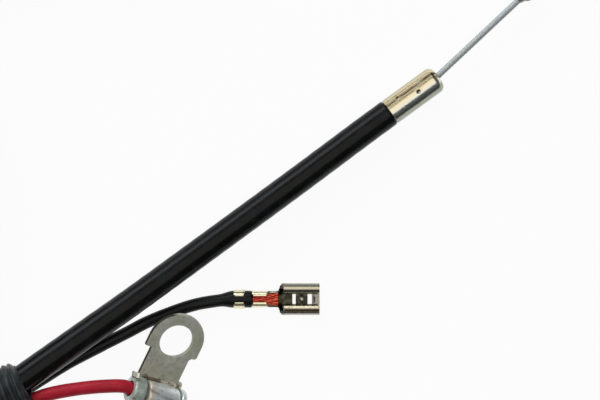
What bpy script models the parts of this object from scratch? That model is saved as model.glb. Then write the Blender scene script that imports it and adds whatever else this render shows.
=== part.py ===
"""Throttle cable with its stop and earth wires, laid out flat.

The engine end is laid out straight, the middle of the cable is wound into one and a half turns held by a tie,
and the trigger end lies beside it. Lengths below are in millimetres, and MM turns them into metres. Routes are
given from the middle of the engine end's layout; the empty "cable_origin" then moves everything so that the
scene's origin is the centre of the base.
"""

import math

import bmesh
import bpy
from mathutils import Matrix, Vector

MM = 0.001
GAP = 0.3

# Conduit: black jacket over a wound steel armour over a plastic liner
JACKET_RADIUS = 2.6
JACKET_WALL = 0.85
ARMOUR_RADIUS = 1.55
ARMOUR_WALL = 0.4
LINER_RADIUS = 1.0
LINER_WALL = 0.2
INNER_WIRE_RADIUS = 0.58

# Ferrule on each end of the conduit
FERRULE_RADIUS = 2.5
FERRULE_LENGTH = 11.1
FERRULE_CLEARANCE = 0.2
FERRULE_HOLE_RADIUS = 0.95
FERRULE_FRONT_WALL = 1.4
FERRULE_FRONT_ROUNDING = 0.9

# Nipple on each end of the inner wire
NIPPLE_RADIUS = 1.6
NIPPLE_LENGTH = 5.0
NIPPLE_BEVEL = 0.2
NIPPLE_SOCKET_DEPTH = 0.9
NIPPLE_SOCKET_CLEARANCE = 0.2
TRIGGER_WIRE_LENGTH = 28.0

# Electrical wires
STOP_WIRE_RADIUS = 1.15
STOP_STRANDS_RADIUS = 0.85
EARTH_WIRE_RADIUS = 1.25
EARTH_STRANDS_RADIUS = 1.0

# Push-on receptacle, stamped from one sheet, for a 4.8 mm tab
SHEET = 0.4
RECEPTACLE_WIDTH = 5.9
RECEPTACLE_BODY = 6.85
CURL_RADIUS = 0.8
CURL_END_ANGLE = math.radians(165)
NECK_LENGTH = 1.0
STEM_WIDTH = 2.4
STEM_REAR_WIDTH = 1.44
STEM_OVERLAP = 0.5
STEM_INSET = 0.004
WIRE_GRIP_LENGTH = 2.8
WIRE_GRIP_START = -5.5
WIRE_GRIP_RADIUS = 1.55
WIRE_GRIP_OPENING = math.radians(7)
SLEEVE_GRIP_LENGTH = 2.1
SLEEVE_GRIP_START = -8.95
SLEEVE_GRIP_RADIUS = 1.75
SLEEVE_GRIP_OPENING = math.radians(24)
SLOT_WIDTH = 1.8
SLOT_STARTS = (1.7, 4.65)
SLOT_LENGTH = 0.9

# Flag eyelet: a ring tongue square to its crimp barrel, tilted where it lies
EYELET_SHEET = 0.8
EYELET_HOLE_RADIUS = 3.2
EYELET_HEAD_RADIUS = 5.4
SHOULDER_BELOW_HOLE = 2.45
SHANK_HALF_WIDTH = 4.1
BARREL_RADIUS = 2.65
BARREL_BORE_RADIUS = 1.5
BARREL_BELOW_HOLE = 11.0
BARREL_LEFT = -5.0
BARREL_RIGHT = 5.9
BARREL_GROOVES = (-2.3, 4.65)
BARREL_GROOVE_HALF_WIDTH = 0.35
BARREL_GROOVE_DEPTH = 0.45
STRANDS_START = -2.3
BARREL_ENTRY_RUN = 1.5
EYELET_HOLE_CENTRE = Vector((-22.94, -25.63, 6.7))
EYELET_RISE_DIRECTION = math.radians(127.5)
EYELET_TILT = math.radians(32)
EYELET_TURN = math.radians(59.6)
SOLDER_LENGTH = 6.4
SOLDER_RADIUS = 0.42

# Wound binding at each end of the sleeve
BINDING_LENGTH = 12.6
BINDING_BORE_RADIUS = 4.6
BINDING_WALL = 0.35
BINDING_SWELL = 0.35
BINDING_TURNS = 9
BINDING_TURN_RISE = 0.2
BINDING_HEIGHT = 5.45
BINDING_MOUTH = Vector((-51.3, -34.9))
BINDING_MOUTH_ANGLE = math.radians(25)
BINDING_REAR_ANGLE = math.radians(12)

# Sleeve over the cable and wires, and its coil
SLEEVE_RADIUS = 4.75
LEAD_LENGTH = 40.0
COIL_RADIUS = 50.0
FIRST_TURN_END = math.radians(285)
RAMP_END = math.radians(340)
COIL_STEP = math.radians(9.5)
COIL_END_STEP = math.radians(1)
DESCENT_START = 15.0
DESCENT_END = 65.0
TAIL_LENGTH = 66.7
TIE_WIDTH = 4.0
TIE_THICKNESS = 0.6
TIE_HEAD_LENGTH = 5.0
TIE_HEAD_DEPTH = 3.0

# Sides of the round pieces, and how far apart a route's points are, in radii
TUBE_RESOLUTION = 3
WIRE_RESOLUTION = 2
SLEEVE_RESOLUTION = 4
TURNED_STEPS = 24
CONDUIT_SPACING = 2.5
EARTH_WIRE_SPACING = 4
WIRE_SPACING = 5

# Heights that follow from the sizes above
FLOOR_CLEARANCE = 0.05
JACKET_END_LIFT = 0.36
SLEEVE_HEIGHT = SLEEVE_RADIUS + GAP + TIE_THICKNESS
LAYER_RISE = 2 * SLEEVE_RADIUS + GAP
CONDUIT_END_HEIGHT = FERRULE_RADIUS + FLOOR_CLEARANCE
STEM_SHEET = SHEET - 2 * STEM_INSET

# Places of the engine end's pieces
FERRULE_MOUTH = Vector((25.55, 22.71, CONDUIT_END_HEIGHT))
JACKET_END = Vector((16.51, 16.13, CONDUIT_END_HEIGHT + JACKET_END_LIFT))
WIRE_START = Vector((25.72, 23.16, CONDUIT_END_HEIGHT))
ENGINE_NIPPLE = Vector((41.81, 38.27, NIPPLE_LENGTH / 2 + 2 * FLOOR_CLEARANCE))
RECEPTACLE_PLACE = Vector((-3.25, -18.27, 0.0))

# Routes chosen by hand, outside the bindings: x, y and height of the middle of each wire
CONDUIT_ROUTE = [
    (-47.6, -30.45, 5.5),
    (-39.0, -24.4, 5.2),
    (-29.43, -17.64, 4.8),
    (-14.67, -6.89, 4.2),
    (0.09, 3.95, 3.6),
    (11.16, 12.21, 3.1),
]
STOP_WIRE_ROUTE = [
    (-48.9, -33.9, 1.75),
    (-43.5, -30.5, 1.45),
    (-37.5, -27.3, 1.4),
    (-31.8, -24.4, 1.4),
    (-27.5, -22.2, 1.45),
    (-20.8, -19.7, 1.6),
    (-16.5, -18.75, 1.72),
]
EARTH_WIRE_ROUTE = [
    (-49.2, -36.7, 4.9),
    (-46.4, -35.75, 5.5),
    (-42.6, -34.95, 6.6),
    (-38.6, -34.4, 7.75),
    (-35.4, -34.15, 8.3),
]
TRIGGER_BINDING_Y = 51.64
TRIGGER_BINDING_REAR = -46.0
TRIGGER_CONDUIT_ROUTE = [
    (-26.0, 51.64, 6.0),
    (-16.0, 51.64, 4.2),
    (-7.0, 51.64, 3.0),
]
TRIGGER_JACKET_END = Vector((-1.0, 51.64, CONDUIT_END_HEIGHT))
TRIGGER_LANE = 6.4
TRIGGER_RECEPTACLE_X = -6.0
TRIGGER_WIRE_STEPS = [
    (-30.0, 0.36, 2.6),
    (-26.0, 0.72, 2.2),
    (-22.0, 0.96, 1.9),
    (-19.0, 1.0, 1.75),
]

# How the pieces lie in the engine binding: offset across it and height, at its mouth, middle and rear
CONDUIT_IN_BINDING = ((1.62, 5.7), (1.25, 5.95), (1.3, 6.2))
STOP_WIRE_IN_BINDING = ((-0.4, 2.1), (-1.0, 2.3), (-1.6, 2.6))
EARTH_WIRE_IN_BINDING = ((-2.62, 4.5), (-2.8, 4.75), (-2.95, 5.1))
# And in the trigger binding, where they run straight
TRIGGER_CONDUIT_LIFT = 1.6
TRIGGER_WIRES_ACROSS = 1.75
TRIGGER_WIRES_DROP = 2.45


def clear_scene():
    for old in list(bpy.data.objects):
        bpy.data.objects.remove(old, do_unlink=True)


def new_collection(name):
    group = bpy.data.collections.new(name)
    bpy.context.scene.collection.children.link(group)
    return group


def new_material(name, colour, roughness, metallic):
    material = bpy.data.materials.new(name)
    material.use_nodes = True
    shader = material.node_tree.nodes["Principled BSDF"]
    shader.inputs["Base Color"].default_value = (*colour, 1.0)
    shader.inputs["Roughness"].default_value = roughness
    shader.inputs["Metallic"].default_value = metallic
    return material


clear_scene()
PARTS = new_collection("throttle_cable")
CUTTERS = new_collection("throttle_cable_cutters")

MATERIALS = {
    "jacket": new_material("jacket", (0.012, 0.013, 0.014), 0.35, 0.0),
    "armour": new_material("armour", (0.45, 0.46, 0.48), 0.35, 1.0),
    "liner": new_material("liner", (0.75, 0.74, 0.7), 0.5, 0.0),
    "steel_wire": new_material("steel_wire", (0.55, 0.58, 0.6), 0.35, 1.0),
    "ferrule": new_material("ferrule", (0.72, 0.66, 0.48), 0.22, 1.0),
    "nipple": new_material("nipple", (0.4, 0.4, 0.41), 0.45, 1.0),
    "black_wire": new_material("black_wire", (0.015, 0.016, 0.017), 0.4, 0.0),
    "red_wire": new_material("red_wire", (0.33, 0.02, 0.035), 0.4, 0.0),
    "copper": new_material("copper", (0.6, 0.2, 0.1), 0.35, 1.0),
    "tinned_brass": new_material("tinned_brass", (0.7, 0.6, 0.4), 0.25, 1.0),
    "tinned_steel": new_material("tinned_steel", (0.3, 0.3, 0.26), 0.5, 1.0),
    "solder": new_material("solder", (0.6, 0.58, 0.5), 0.4, 1.0),
    "binding": new_material("binding", (0.02, 0.023, 0.025), 0.55, 0.0),
    "sleeve": new_material("sleeve", (0.016, 0.017, 0.018), 0.5, 0.0),
    "tie": new_material("tie", (0.02, 0.02, 0.02), 0.5, 0.0),
}


def new_empty(name):
    empty = bpy.data.objects.new(name, None)
    PARTS.objects.link(empty)
    return empty


ORIGIN = new_empty("cable_origin")


def add_part(name, data, material, place=None):
    """A named object under the origin empty, at a place in millimetres or with a whole matrix."""
    part = bpy.data.objects.new(name, data)
    PARTS.objects.link(part)
    part.parent = ORIGIN
    if place is not None:
        part.matrix_local = place
    data.materials.append(MATERIALS[material])
    return part


def add_cutter(name, data, place=None):
    cutter = bpy.data.objects.new(name, data)
    CUTTERS.objects.link(cutter)
    cutter.parent = ORIGIN
    if place is not None:
        cutter.matrix_local = place
    cutter.hide_render = True
    cutter.display_type = "WIRE"
    return cutter


def boolean(part, other, operation):
    modifier = part.modifiers.new(f"{operation.lower()}_{other.name}", "BOOLEAN")
    modifier.object = other
    modifier.operation = operation
    modifier.solver = "EXACT"


def placed(point):
    """A matrix that only moves to a point in millimetres."""
    return Matrix.Translation(Vector(point) * MM)


def pointing(point, direction):
    """A matrix that moves to a point in millimetres and turns local Z along a direction."""
    return placed(point) @ Vector(direction).to_track_quat("Z", "Y").to_matrix().to_4x4()


def smooth_step(share):
    share = min(max(share, 0.0), 1.0)
    return share * share * (3 - 2 * share)


def smooth_route(points, spacing):
    """Points about a spacing apart on a smooth curve through the route's own points."""
    points = [Vector(p) for p in points]
    before = points[0] * 2 - points[1]
    after = points[-1] * 2 - points[-2]
    padded = [before, *points, after]
    route = [points[0]]
    for i in range(1, len(padded) - 2):
        p0, p1, p2, p3 = padded[i - 1 : i + 3]
        steps = max(1, round((p2 - p1).length / spacing))
        for k in range(1, steps + 1):
            t = k / steps
            slope = (p2 - p0) * t + (2 * p0 - 5 * p1 + 4 * p2 - p3) * t * t
            route.append(p1 + 0.5 * (slope + (3 * p1 - p0 - 3 * p2 + p3) * t**3))
    return route


def tube(name, route, radius, material, resolution, wall=0.0):
    """A round tube along a route; with a wall it is open at both ends."""
    curve = bpy.data.curves.new(name, "CURVE")
    curve.dimensions = "3D"
    curve.bevel_depth = radius * MM
    curve.bevel_resolution = resolution
    curve.use_fill_caps = wall == 0.0
    spline = curve.splines.new("POLY")
    spline.points.add(len(route) - 1)
    for point, place in zip(spline.points, route):
        point.co = (*(Vector(place) * MM), 1.0)
    spline.use_smooth = True
    part = add_part(name, curve, material)
    if wall:
        shell = part.modifiers.new("wall", "SOLIDIFY")
        shell.thickness = wall * MM
        shell.offset = -1.0
    return part


def profile_mesh(name, profile, closed=True):
    """A chain of edges in the XZ plane, for a Screw modifier round Z."""
    mesh = bpy.data.meshes.new(name)
    shape = bmesh.new()
    corners = [shape.verts.new((r * MM, 0.0, z * MM)) for r, z in profile]
    for a, b in zip(corners, corners[1:]):
        shape.edges.new((a, b))
    if closed:
        shape.edges.new((corners[-1], corners[0]))
    shape.to_mesh(mesh)
    shape.free()
    return mesh


def turn_profile(part, steps=TURNED_STEPS):
    screw = part.modifiers.new("turned", "SCREW")
    screw.axis = "Z"
    screw.angle = 2 * math.pi
    screw.steps = steps
    screw.render_steps = steps
    screw.use_merge_vertices = True
    screw.merge_threshold = 0.00001
    screw.use_smooth_shade = True


def cylinder_mesh(name, radius, length, segments=TURNED_STEPS):
    """A cylinder along Z, centred on its middle."""
    mesh = bpy.data.meshes.new(name)
    shape = bmesh.new()
    bmesh.ops.create_cone(
        shape,
        cap_ends=True,
        segments=segments,
        radius1=radius * MM,
        radius2=radius * MM,
        depth=length * MM,
    )
    shape.to_mesh(mesh)
    shape.free()
    return mesh


def box_mesh(name, low, high):
    mesh = bpy.data.meshes.new(name)
    shape = bmesh.new()
    low, high = Vector(low), Vector(high)
    middle = Matrix.Translation((low + high) / 2 * MM)
    bmesh.ops.create_cube(shape, size=1.0, matrix=middle @ Matrix.Diagonal((*((high - low) * MM), 1.0)))
    shape.to_mesh(mesh)
    shape.free()
    return mesh


def plate_mesh(name, outlines, thickness):
    """A flat plate from closed outlines in XY, the first its edge and the others its holes, middle at z = 0."""
    curve = bpy.data.curves.new(name + "_outline", "CURVE")
    curve.dimensions = "2D"
    curve.fill_mode = "BOTH"
    curve.extrude = thickness * MM / 2
    for outline in outlines:
        spline = curve.splines.new("POLY")
        spline.points.add(len(outline) - 1)
        spline.use_cyclic_u = True
        for point, (x, y) in zip(spline.points, outline):
            point.co = (x * MM, y * MM, 0.0, 1.0)
    flat = bpy.data.objects.new(name + "_outline", curve)
    CUTTERS.objects.link(flat)
    bpy.context.view_layer.update()
    evaluated = flat.evaluated_get(bpy.context.evaluated_depsgraph_get())
    mesh = bpy.data.meshes.new_from_object(evaluated)
    mesh.name = name
    bpy.data.objects.remove(flat, do_unlink=True)
    shape = bmesh.new()
    shape.from_mesh(mesh)
    bmesh.ops.remove_doubles(shape, verts=shape.verts, dist=0.000001)
    bmesh.ops.recalc_face_normals(shape, faces=shape.faces)
    shape.to_mesh(mesh)
    shape.free()
    return mesh


def strip_mesh(name, section, start, length):
    """An open sheet: a section in YZ drawn out along X, for Solidify."""
    mesh = bpy.data.meshes.new(name)
    shape = bmesh.new()
    rear = [shape.verts.new((start * MM, y * MM, z * MM)) for y, z in section]
    edges = [shape.edges.new(pair) for pair in zip(rear, rear[1:])]
    drawn = bmesh.ops.extrude_edge_only(shape, edges=edges)["geom"]
    front = [item for item in drawn if isinstance(item, bmesh.types.BMVert)]
    bmesh.ops.translate(shape, verts=front, vec=(length * MM, 0.0, 0.0))
    bmesh.ops.recalc_face_normals(shape, faces=shape.faces)
    shape.to_mesh(mesh)
    shape.free()
    return mesh


def give_sheet(part, thickness):
    sheet = part.modifiers.new("sheet", "SOLIDIFY")
    sheet.thickness = thickness * MM
    sheet.offset = 0.0
    sheet.use_even_offset = True


def arc(centre, radius, start, end, steps):
    """Points on an arc in a plane, both ends included."""
    angles = [start + (end - start) * i / steps for i in range(steps + 1)]
    return [(centre[0] + radius * math.cos(a), centre[1] + radius * math.sin(a)) for a in angles]


def binding_axis(back):
    """The middle of the engine binding, a way back from its mouth, and the direction across it."""
    turn = (BINDING_MOUTH_ANGLE - BINDING_REAR_ANGLE) / BINDING_LENGTH
    angle = BINDING_MOUTH_ANGLE - turn * back
    radius = 1 / turn
    centre = BINDING_MOUTH + Vector((-math.sin(BINDING_MOUTH_ANGLE), math.cos(BINDING_MOUTH_ANGLE))) * radius
    across = Vector((-math.sin(angle), math.cos(angle)))
    return centre - across * radius, across


def through_binding(offsets, rear_gap):
    """Route points from the rear of the engine binding to its mouth, for a piece at these offsets."""
    backs = (0.0, (BINDING_LENGTH - rear_gap) / 2, BINDING_LENGTH - rear_gap)
    points = []
    for back, (aside, height) in zip(backs, offsets):
        middle, across = binding_axis(back)
        points.append((*(middle + across * aside), height))
    return points[::-1]


def make_conduit(prefix, route, jacket_end, direction):
    """Jacket, armour and liner on one route; the armour and liner run on into the ferrule."""
    jacket_route = smooth_route([*route, jacket_end - direction * GAP], CONDUIT_SPACING * JACKET_RADIUS)
    inside = FERRULE_LENGTH - FERRULE_FRONT_WALL - GAP
    core_route = [*jacket_route, jacket_end + direction * inside]
    tube(f"{prefix}_jacket", jacket_route, JACKET_RADIUS, "jacket", TUBE_RESOLUTION, JACKET_WALL)
    tube(f"{prefix}_armour", core_route, ARMOUR_RADIUS, "armour", TUBE_RESOLUTION, ARMOUR_WALL)
    tube(f"{prefix}_liner", core_route, LINER_RADIUS, "liner", TUBE_RESOLUTION, LINER_WALL)
    mouth = jacket_end + direction * (FERRULE_LENGTH - GAP)
    tube(f"{prefix}_wire_run", [*jacket_route, mouth], INNER_WIRE_RADIUS, "steel_wire", WIRE_RESOLUTION)


def make_ferrule(name, rear, direction):
    """A turned cap: the armour sits in its bore and the inner wire leaves by the hole in its front wall."""
    bore = ARMOUR_RADIUS + FERRULE_CLEARANCE
    rounding = FERRULE_FRONT_ROUNDING
    corner = (FERRULE_RADIUS - rounding, FERRULE_LENGTH - rounding)
    profile = [
        (FERRULE_HOLE_RADIUS, FERRULE_LENGTH),
        *arc(corner, rounding, math.pi / 2, 0.0, 4),
        (FERRULE_RADIUS, 0.0),
        (bore, 0.0),
        (bore, FERRULE_LENGTH - FERRULE_FRONT_WALL),
        (FERRULE_HOLE_RADIUS, FERRULE_LENGTH - FERRULE_FRONT_WALL),
    ]
    part = add_part(name, profile_mesh(name, profile), "ferrule", pointing(rear, direction))
    turn_profile(part)


def make_nipple(name, centre, wire_direction):
    """An upright barrel cast on the wire's end, with the socket that the wire enters."""
    part = add_part(name, cylinder_mesh(name, NIPPLE_RADIUS, NIPPLE_LENGTH), "nipple", placed(centre))
    rounding = part.modifiers.new("rounding", "BEVEL")
    rounding.width = NIPPLE_BEVEL * MM
    rounding.segments = 2
    rounding.limit_method = "ANGLE"
    socket_radius = INNER_WIRE_RADIUS + NIPPLE_SOCKET_CLEARANCE
    middle = centre - wire_direction * NIPPLE_RADIUS
    depth = 2 * NIPPLE_SOCKET_DEPTH
    socket = cylinder_mesh(f"{name}_socket", socket_radius, depth, 12)
    boolean(part, add_cutter(f"{name}_socket", socket, pointing(middle, wire_direction)), "DIFFERENCE")


def make_exposed_wire(name, start, nipple_centre):
    """The bare end of the inner wire, from the ferrule's mouth to the nipple's socket."""
    direction = (nipple_centre - start).normalized()
    end = nipple_centre - direction * (NIPPLE_RADIUS - NIPPLE_SOCKET_DEPTH + GAP)
    steps = 6
    route = [start.lerp(end, i / steps) for i in range(steps + 1)]
    tube(name, route, INNER_WIRE_RADIUS, "steel_wire", WIRE_RESOLUTION)


def receptacle_section():
    """Half of the body's section, from the middle of the floor over the curled side to its free edge."""
    curl_y = RECEPTACLE_WIDTH / 2 - CURL_RADIUS - SHEET / 2
    curl_z = CURL_RADIUS + SHEET / 2
    return arc((curl_y, curl_z), CURL_RADIUS, -math.pi / 2, CURL_END_ANGLE, 7)


def grip_section(radius, opening):
    """A rolled crimp's section, open at the top."""
    middle = (0.0, radius)
    return arc(middle, radius - SHEET / 2, math.pi / 2 + opening, 5 * math.pi / 2 - opening, 14)


def make_receptacle(name, place):
    """One stamped piece: curled body with two slots, neck, stem, and the two crimps round the wire."""
    here = placed(place)
    side = receptacle_section()
    section = [(-y, z) for y, z in reversed(side)] + side
    body = add_part(name, strip_mesh(name, section, 0.0, RECEPTACLE_BODY), "tinned_brass", here)
    give_sheet(body, SHEET)
    joined = {
        "sleeve_grip": (
            grip_section(SLEEVE_GRIP_RADIUS, SLEEVE_GRIP_OPENING),
            SLEEVE_GRIP_START,
            SLEEVE_GRIP_LENGTH,
        ),
        "wire_grip": (
            grip_section(WIRE_GRIP_RADIUS, WIRE_GRIP_OPENING),
            WIRE_GRIP_START,
            WIRE_GRIP_LENGTH,
        ),
    }
    half_stem = STEM_WIDTH / 2
    half_rear = STEM_REAR_WIDTH / 2
    neck_end = RECEPTACLE_WIDTH / 2 - CURL_RADIUS
    stem = [
        (SLEEVE_GRIP_START, -half_rear),
        (-NECK_LENGTH, -half_stem),
        (0.0, -neck_end),
        (STEM_OVERLAP, -neck_end),
        (STEM_OVERLAP, neck_end),
        (0.0, neck_end),
        (-NECK_LENGTH, half_stem),
        (SLEEVE_GRIP_START, half_rear),
    ]
    flat = plate_mesh(f"{name}_stem", [stem], STEM_SHEET)
    boolean(body, add_cutter(f"{name}_stem", flat, here @ placed((0, 0, SHEET / 2))), "UNION")
    for grip, (outline, start, length) in joined.items():
        rolled = add_cutter(f"{name}_{grip}", strip_mesh(f"{name}_{grip}", outline, start, length), here)
        give_sheet(rolled, SHEET)
        boolean(body, rolled, "UNION")
    for i, start in enumerate(SLOT_STARTS):
        low = (start, -SLOT_WIDTH / 2, -SHEET)
        high = (start + SLOT_LENGTH, SLOT_WIDTH / 2, 2 * SHEET)
        slot = box_mesh(f"{name}_slot_{i}", low, high)
        boolean(body, add_cutter(f"{name}_slot_{i}", slot, here), "DIFFERENCE")


def eyelet_frame():
    """The eyelet's own frame: X along its barrel, Y along its tongue, Z out of its top face."""
    rise = Matrix.Rotation(EYELET_RISE_DIRECTION - math.pi / 2, 4, "Z")
    tilt = Matrix.Rotation(EYELET_TILT, 4, "X")
    turn = Matrix.Rotation(-EYELET_TURN, 4, "Z")
    return placed(EYELET_HOLE_CENTRE) @ rise @ tilt @ turn


def eyelet_outlines():
    head, shank = EYELET_HEAD_RADIUS, SHANK_HALF_WIDTH
    edge = [
        *arc((0.0, 0.0), head, 0.0, math.pi, 20),
        (-head, -SHOULDER_BELOW_HOLE),
        (-shank, -SHOULDER_BELOW_HOLE),
        (-shank, -BARREL_BELOW_HOLE),
        (shank, -BARREL_BELOW_HOLE),
        (shank, -SHOULDER_BELOW_HOLE),
        (head, -SHOULDER_BELOW_HOLE),
    ]
    hole = arc((0.0, 0.0), EYELET_HOLE_RADIUS, 0.0, 2 * math.pi, 28)[:-1]
    return [edge, hole]


def make_eyelet():
    here = eyelet_frame()
    flat = here @ placed((0, 0, -EYELET_SHEET / 2))
    plate = plate_mesh("earth_eyelet", eyelet_outlines(), EYELET_SHEET)
    part = add_part("earth_eyelet", plate, "tinned_steel", flat)
    outer = [(BARREL_RADIUS, BARREL_RIGHT)]
    for groove in reversed(BARREL_GROOVES):
        floor = BARREL_RADIUS - BARREL_GROOVE_DEPTH
        outer.append((BARREL_RADIUS, groove + BARREL_GROOVE_HALF_WIDTH))
        outer.append((floor, groove + BARREL_GROOVE_HALF_WIDTH / 2))
        outer.append((floor, groove - BARREL_GROOVE_HALF_WIDTH / 2))
        outer.append((BARREL_RADIUS, groove - BARREL_GROOVE_HALF_WIDTH))
    profile = [
        *outer,
        (BARREL_RADIUS, BARREL_LEFT),
        (BARREL_BORE_RADIUS, BARREL_LEFT),
        (BARREL_BORE_RADIUS, BARREL_RIGHT),
    ]
    along = Matrix.Rotation(math.pi / 2, 4, "Y")
    barrel_height = BARREL_RADIUS - EYELET_SHEET
    at_barrel = here @ placed((0, -BARREL_BELOW_HOLE, barrel_height)) @ along
    barrel = add_cutter("eyelet_barrel", profile_mesh("eyelet_barrel", profile), at_barrel)
    turn_profile(barrel)
    boolean(part, barrel, "UNION")
    strands_end = BARREL_RIGHT - GAP
    ends = [here @ placed((x, -BARREL_BELOW_HOLE, barrel_height)) for x in (STRANDS_START, strands_end)]
    points = [end.translation / MM for end in ends]
    tube("earth_wire_strands", points, EARTH_STRANDS_RADIUS, "copper", WIRE_RESOLUTION)
    solder_y = -BARREL_BELOW_HOLE + BARREL_RADIUS + SOLDER_RADIUS + GAP / 2
    solder_z = SOLDER_RADIUS + GAP / 2
    solder = cylinder_mesh("earth_solder", SOLDER_RADIUS, SOLDER_LENGTH, 8)
    add_part("earth_solder", solder, "solder", here @ placed((0, solder_y, solder_z)) @ along)
    return here, barrel_height


def barrel_entry(here, barrel_height):
    """Where the earth wire's insulation enters the barrel and where it ends, in millimetres."""
    places = (BARREL_LEFT - BARREL_ENTRY_RUN, BARREL_LEFT, STRANDS_START - GAP)
    ends = [here @ placed((x, -BARREL_BELOW_HOLE, barrel_height)) for x in places]
    return [tuple(end.translation / MM) for end in ends]


def binding_profile(length):
    """Half section of a wound binding lying from z = -length to 0, swollen in the middle."""
    samples = 4 * BINDING_TURNS
    outer = []
    for i in range(samples + 1):
        share = i / samples
        turn = 0.5 - 0.5 * math.cos(2 * math.pi * share * BINDING_TURNS)
        swell = BINDING_SWELL * math.sin(math.pi * share) ** 0.7
        radius = BINDING_BORE_RADIUS + BINDING_WALL + swell + BINDING_TURN_RISE * turn
        outer.append((radius, -length * share))
    return [*outer, (BINDING_BORE_RADIUS, -length), (BINDING_BORE_RADIUS, 0.0)]


def make_bindings():
    """The engine binding is bent with the bundle, by a Simple Deform; the trigger binding is straight."""
    lying = Matrix.Rotation(math.pi / 2, 4, "Y")
    profile = binding_profile(BINDING_LENGTH)
    rear, _ = binding_axis(BINDING_LENGTH)
    mesh = profile_mesh("engine_binding", [(r, z + BINDING_LENGTH) for r, z in profile])
    mesh.transform(lying)
    turned_way = Matrix.Rotation(BINDING_REAR_ANGLE, 4, "Z")
    part = add_part("engine_binding", mesh, "binding", placed((*rear, BINDING_HEIGHT)) @ turned_way)
    turn_profile(part)
    part.modifiers["turned"].axis = "X"
    bend = part.modifiers.new("bend", "SIMPLE_DEFORM")
    bend.deform_method = "BEND"
    bend.deform_axis = "Z"
    bend.angle = BINDING_MOUTH_ANGLE - BINDING_REAR_ANGLE
    front = TRIGGER_BINDING_REAR + BINDING_LENGTH
    place = placed((front, TRIGGER_BINDING_Y, BINDING_HEIGHT)) @ lying
    part = add_part("trigger_binding", profile_mesh("trigger_binding", profile), "binding", place)
    turn_profile(part)


def coil_point(turned, height):
    """A point of the coil, by the angle turned since the lead met it."""
    angle = BINDING_REAR_ANGLE - math.pi / 2 - turned
    return COIL_CENTRE[0] + COIL_RADIUS * math.cos(angle), COIL_CENTRE[1] + COIL_RADIUS * math.sin(angle), height


def coil_angles(start, end):
    """Even steps round the coil, with a short one at each end so that its faces there are square."""
    count = round((end - start) / COIL_STEP)
    even = [start + (end - start) * i / count for i in range(count + 1)]
    return [start, start + COIL_END_STEP, *even[1:-1], end - COIL_END_STEP, end]


def coil_height(turned):
    return SLEEVE_HEIGHT + LAYER_RISE * smooth_step((turned - FIRST_TURN_END) / (RAMP_END - FIRST_TURN_END))


def make_sleeves():
    """Lead from the engine binding, first turn on the floor, and the tail that climbs onto it and runs off."""
    lead = []
    steps = 4
    for i in range(steps + 1):
        share = i / steps
        run = GAP + (LEAD_LENGTH - 2 * GAP) * share
        height = BINDING_HEIGHT + (SLEEVE_HEIGHT - BINDING_HEIGHT) * smooth_step(share)
        lead.append((*(BINDING_REAR + LEAD_HEADING * run), height))
    tube("sleeve_lead", lead, SLEEVE_RADIUS, "sleeve", SLEEVE_RESOLUTION)
    first = [coil_point(angle, SLEEVE_HEIGHT) for angle in coil_angles(0.0, FIRST_TURN_END)]
    tube("sleeve_coil", first, SLEEVE_RADIUS, "sleeve", SLEEVE_RESOLUTION)
    tail_start = FIRST_TURN_END + GAP / COIL_RADIUS
    tail_end = 1.5 * 2 * math.pi + BINDING_REAR_ANGLE
    tail = [coil_point(angle, coil_height(angle)) for angle in coil_angles(tail_start, tail_end)]
    drop = SLEEVE_HEIGHT + LAYER_RISE - BINDING_HEIGHT
    steps = 12
    for i in range(1, steps + 1):
        run = (TAIL_LENGTH - GAP) * i / steps
        share = (run - DESCENT_START) / (DESCENT_END - DESCENT_START)
        height = SLEEVE_HEIGHT + LAYER_RISE - drop * smooth_step(share)
        tail.append((COIL_CENTRE[0] + run, COIL_CENTRE[1] + COIL_RADIUS, height))
    tube("sleeve_tail", tail, SLEEVE_RADIUS, "sleeve", SLEEVE_RESOLUTION)


def make_tie():
    """A strap round both layers of the coil at its left side, with its head on the inner side."""
    inner = SLEEVE_RADIUS + GAP
    outer = inner + TIE_THICKNESS
    half = LAYER_RISE / 2

    def stadium(radius):
        upper = arc((0.0, half), radius, 0.0, math.pi, 10)
        lower = arc((0.0, -half), radius, math.pi, 2 * math.pi, 10)
        return upper + lower

    head = TIE_HEAD_LENGTH / 2
    bump = [(outer, -head), (outer + TIE_HEAD_DEPTH, -head), (outer + TIE_HEAD_DEPTH, head), (outer, head)]
    mesh = plate_mesh("coil_tie", [stadium(outer) + bump, stadium(inner)], TIE_WIDTH)
    centre = (COIL_CENTRE[0] - COIL_RADIUS, COIL_CENTRE[1], SLEEVE_HEIGHT + half)
    upright = Matrix.Rotation(math.pi / 2, 4, "X")
    add_part("coil_tie", mesh, "tie", placed(centre) @ upright)


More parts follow.
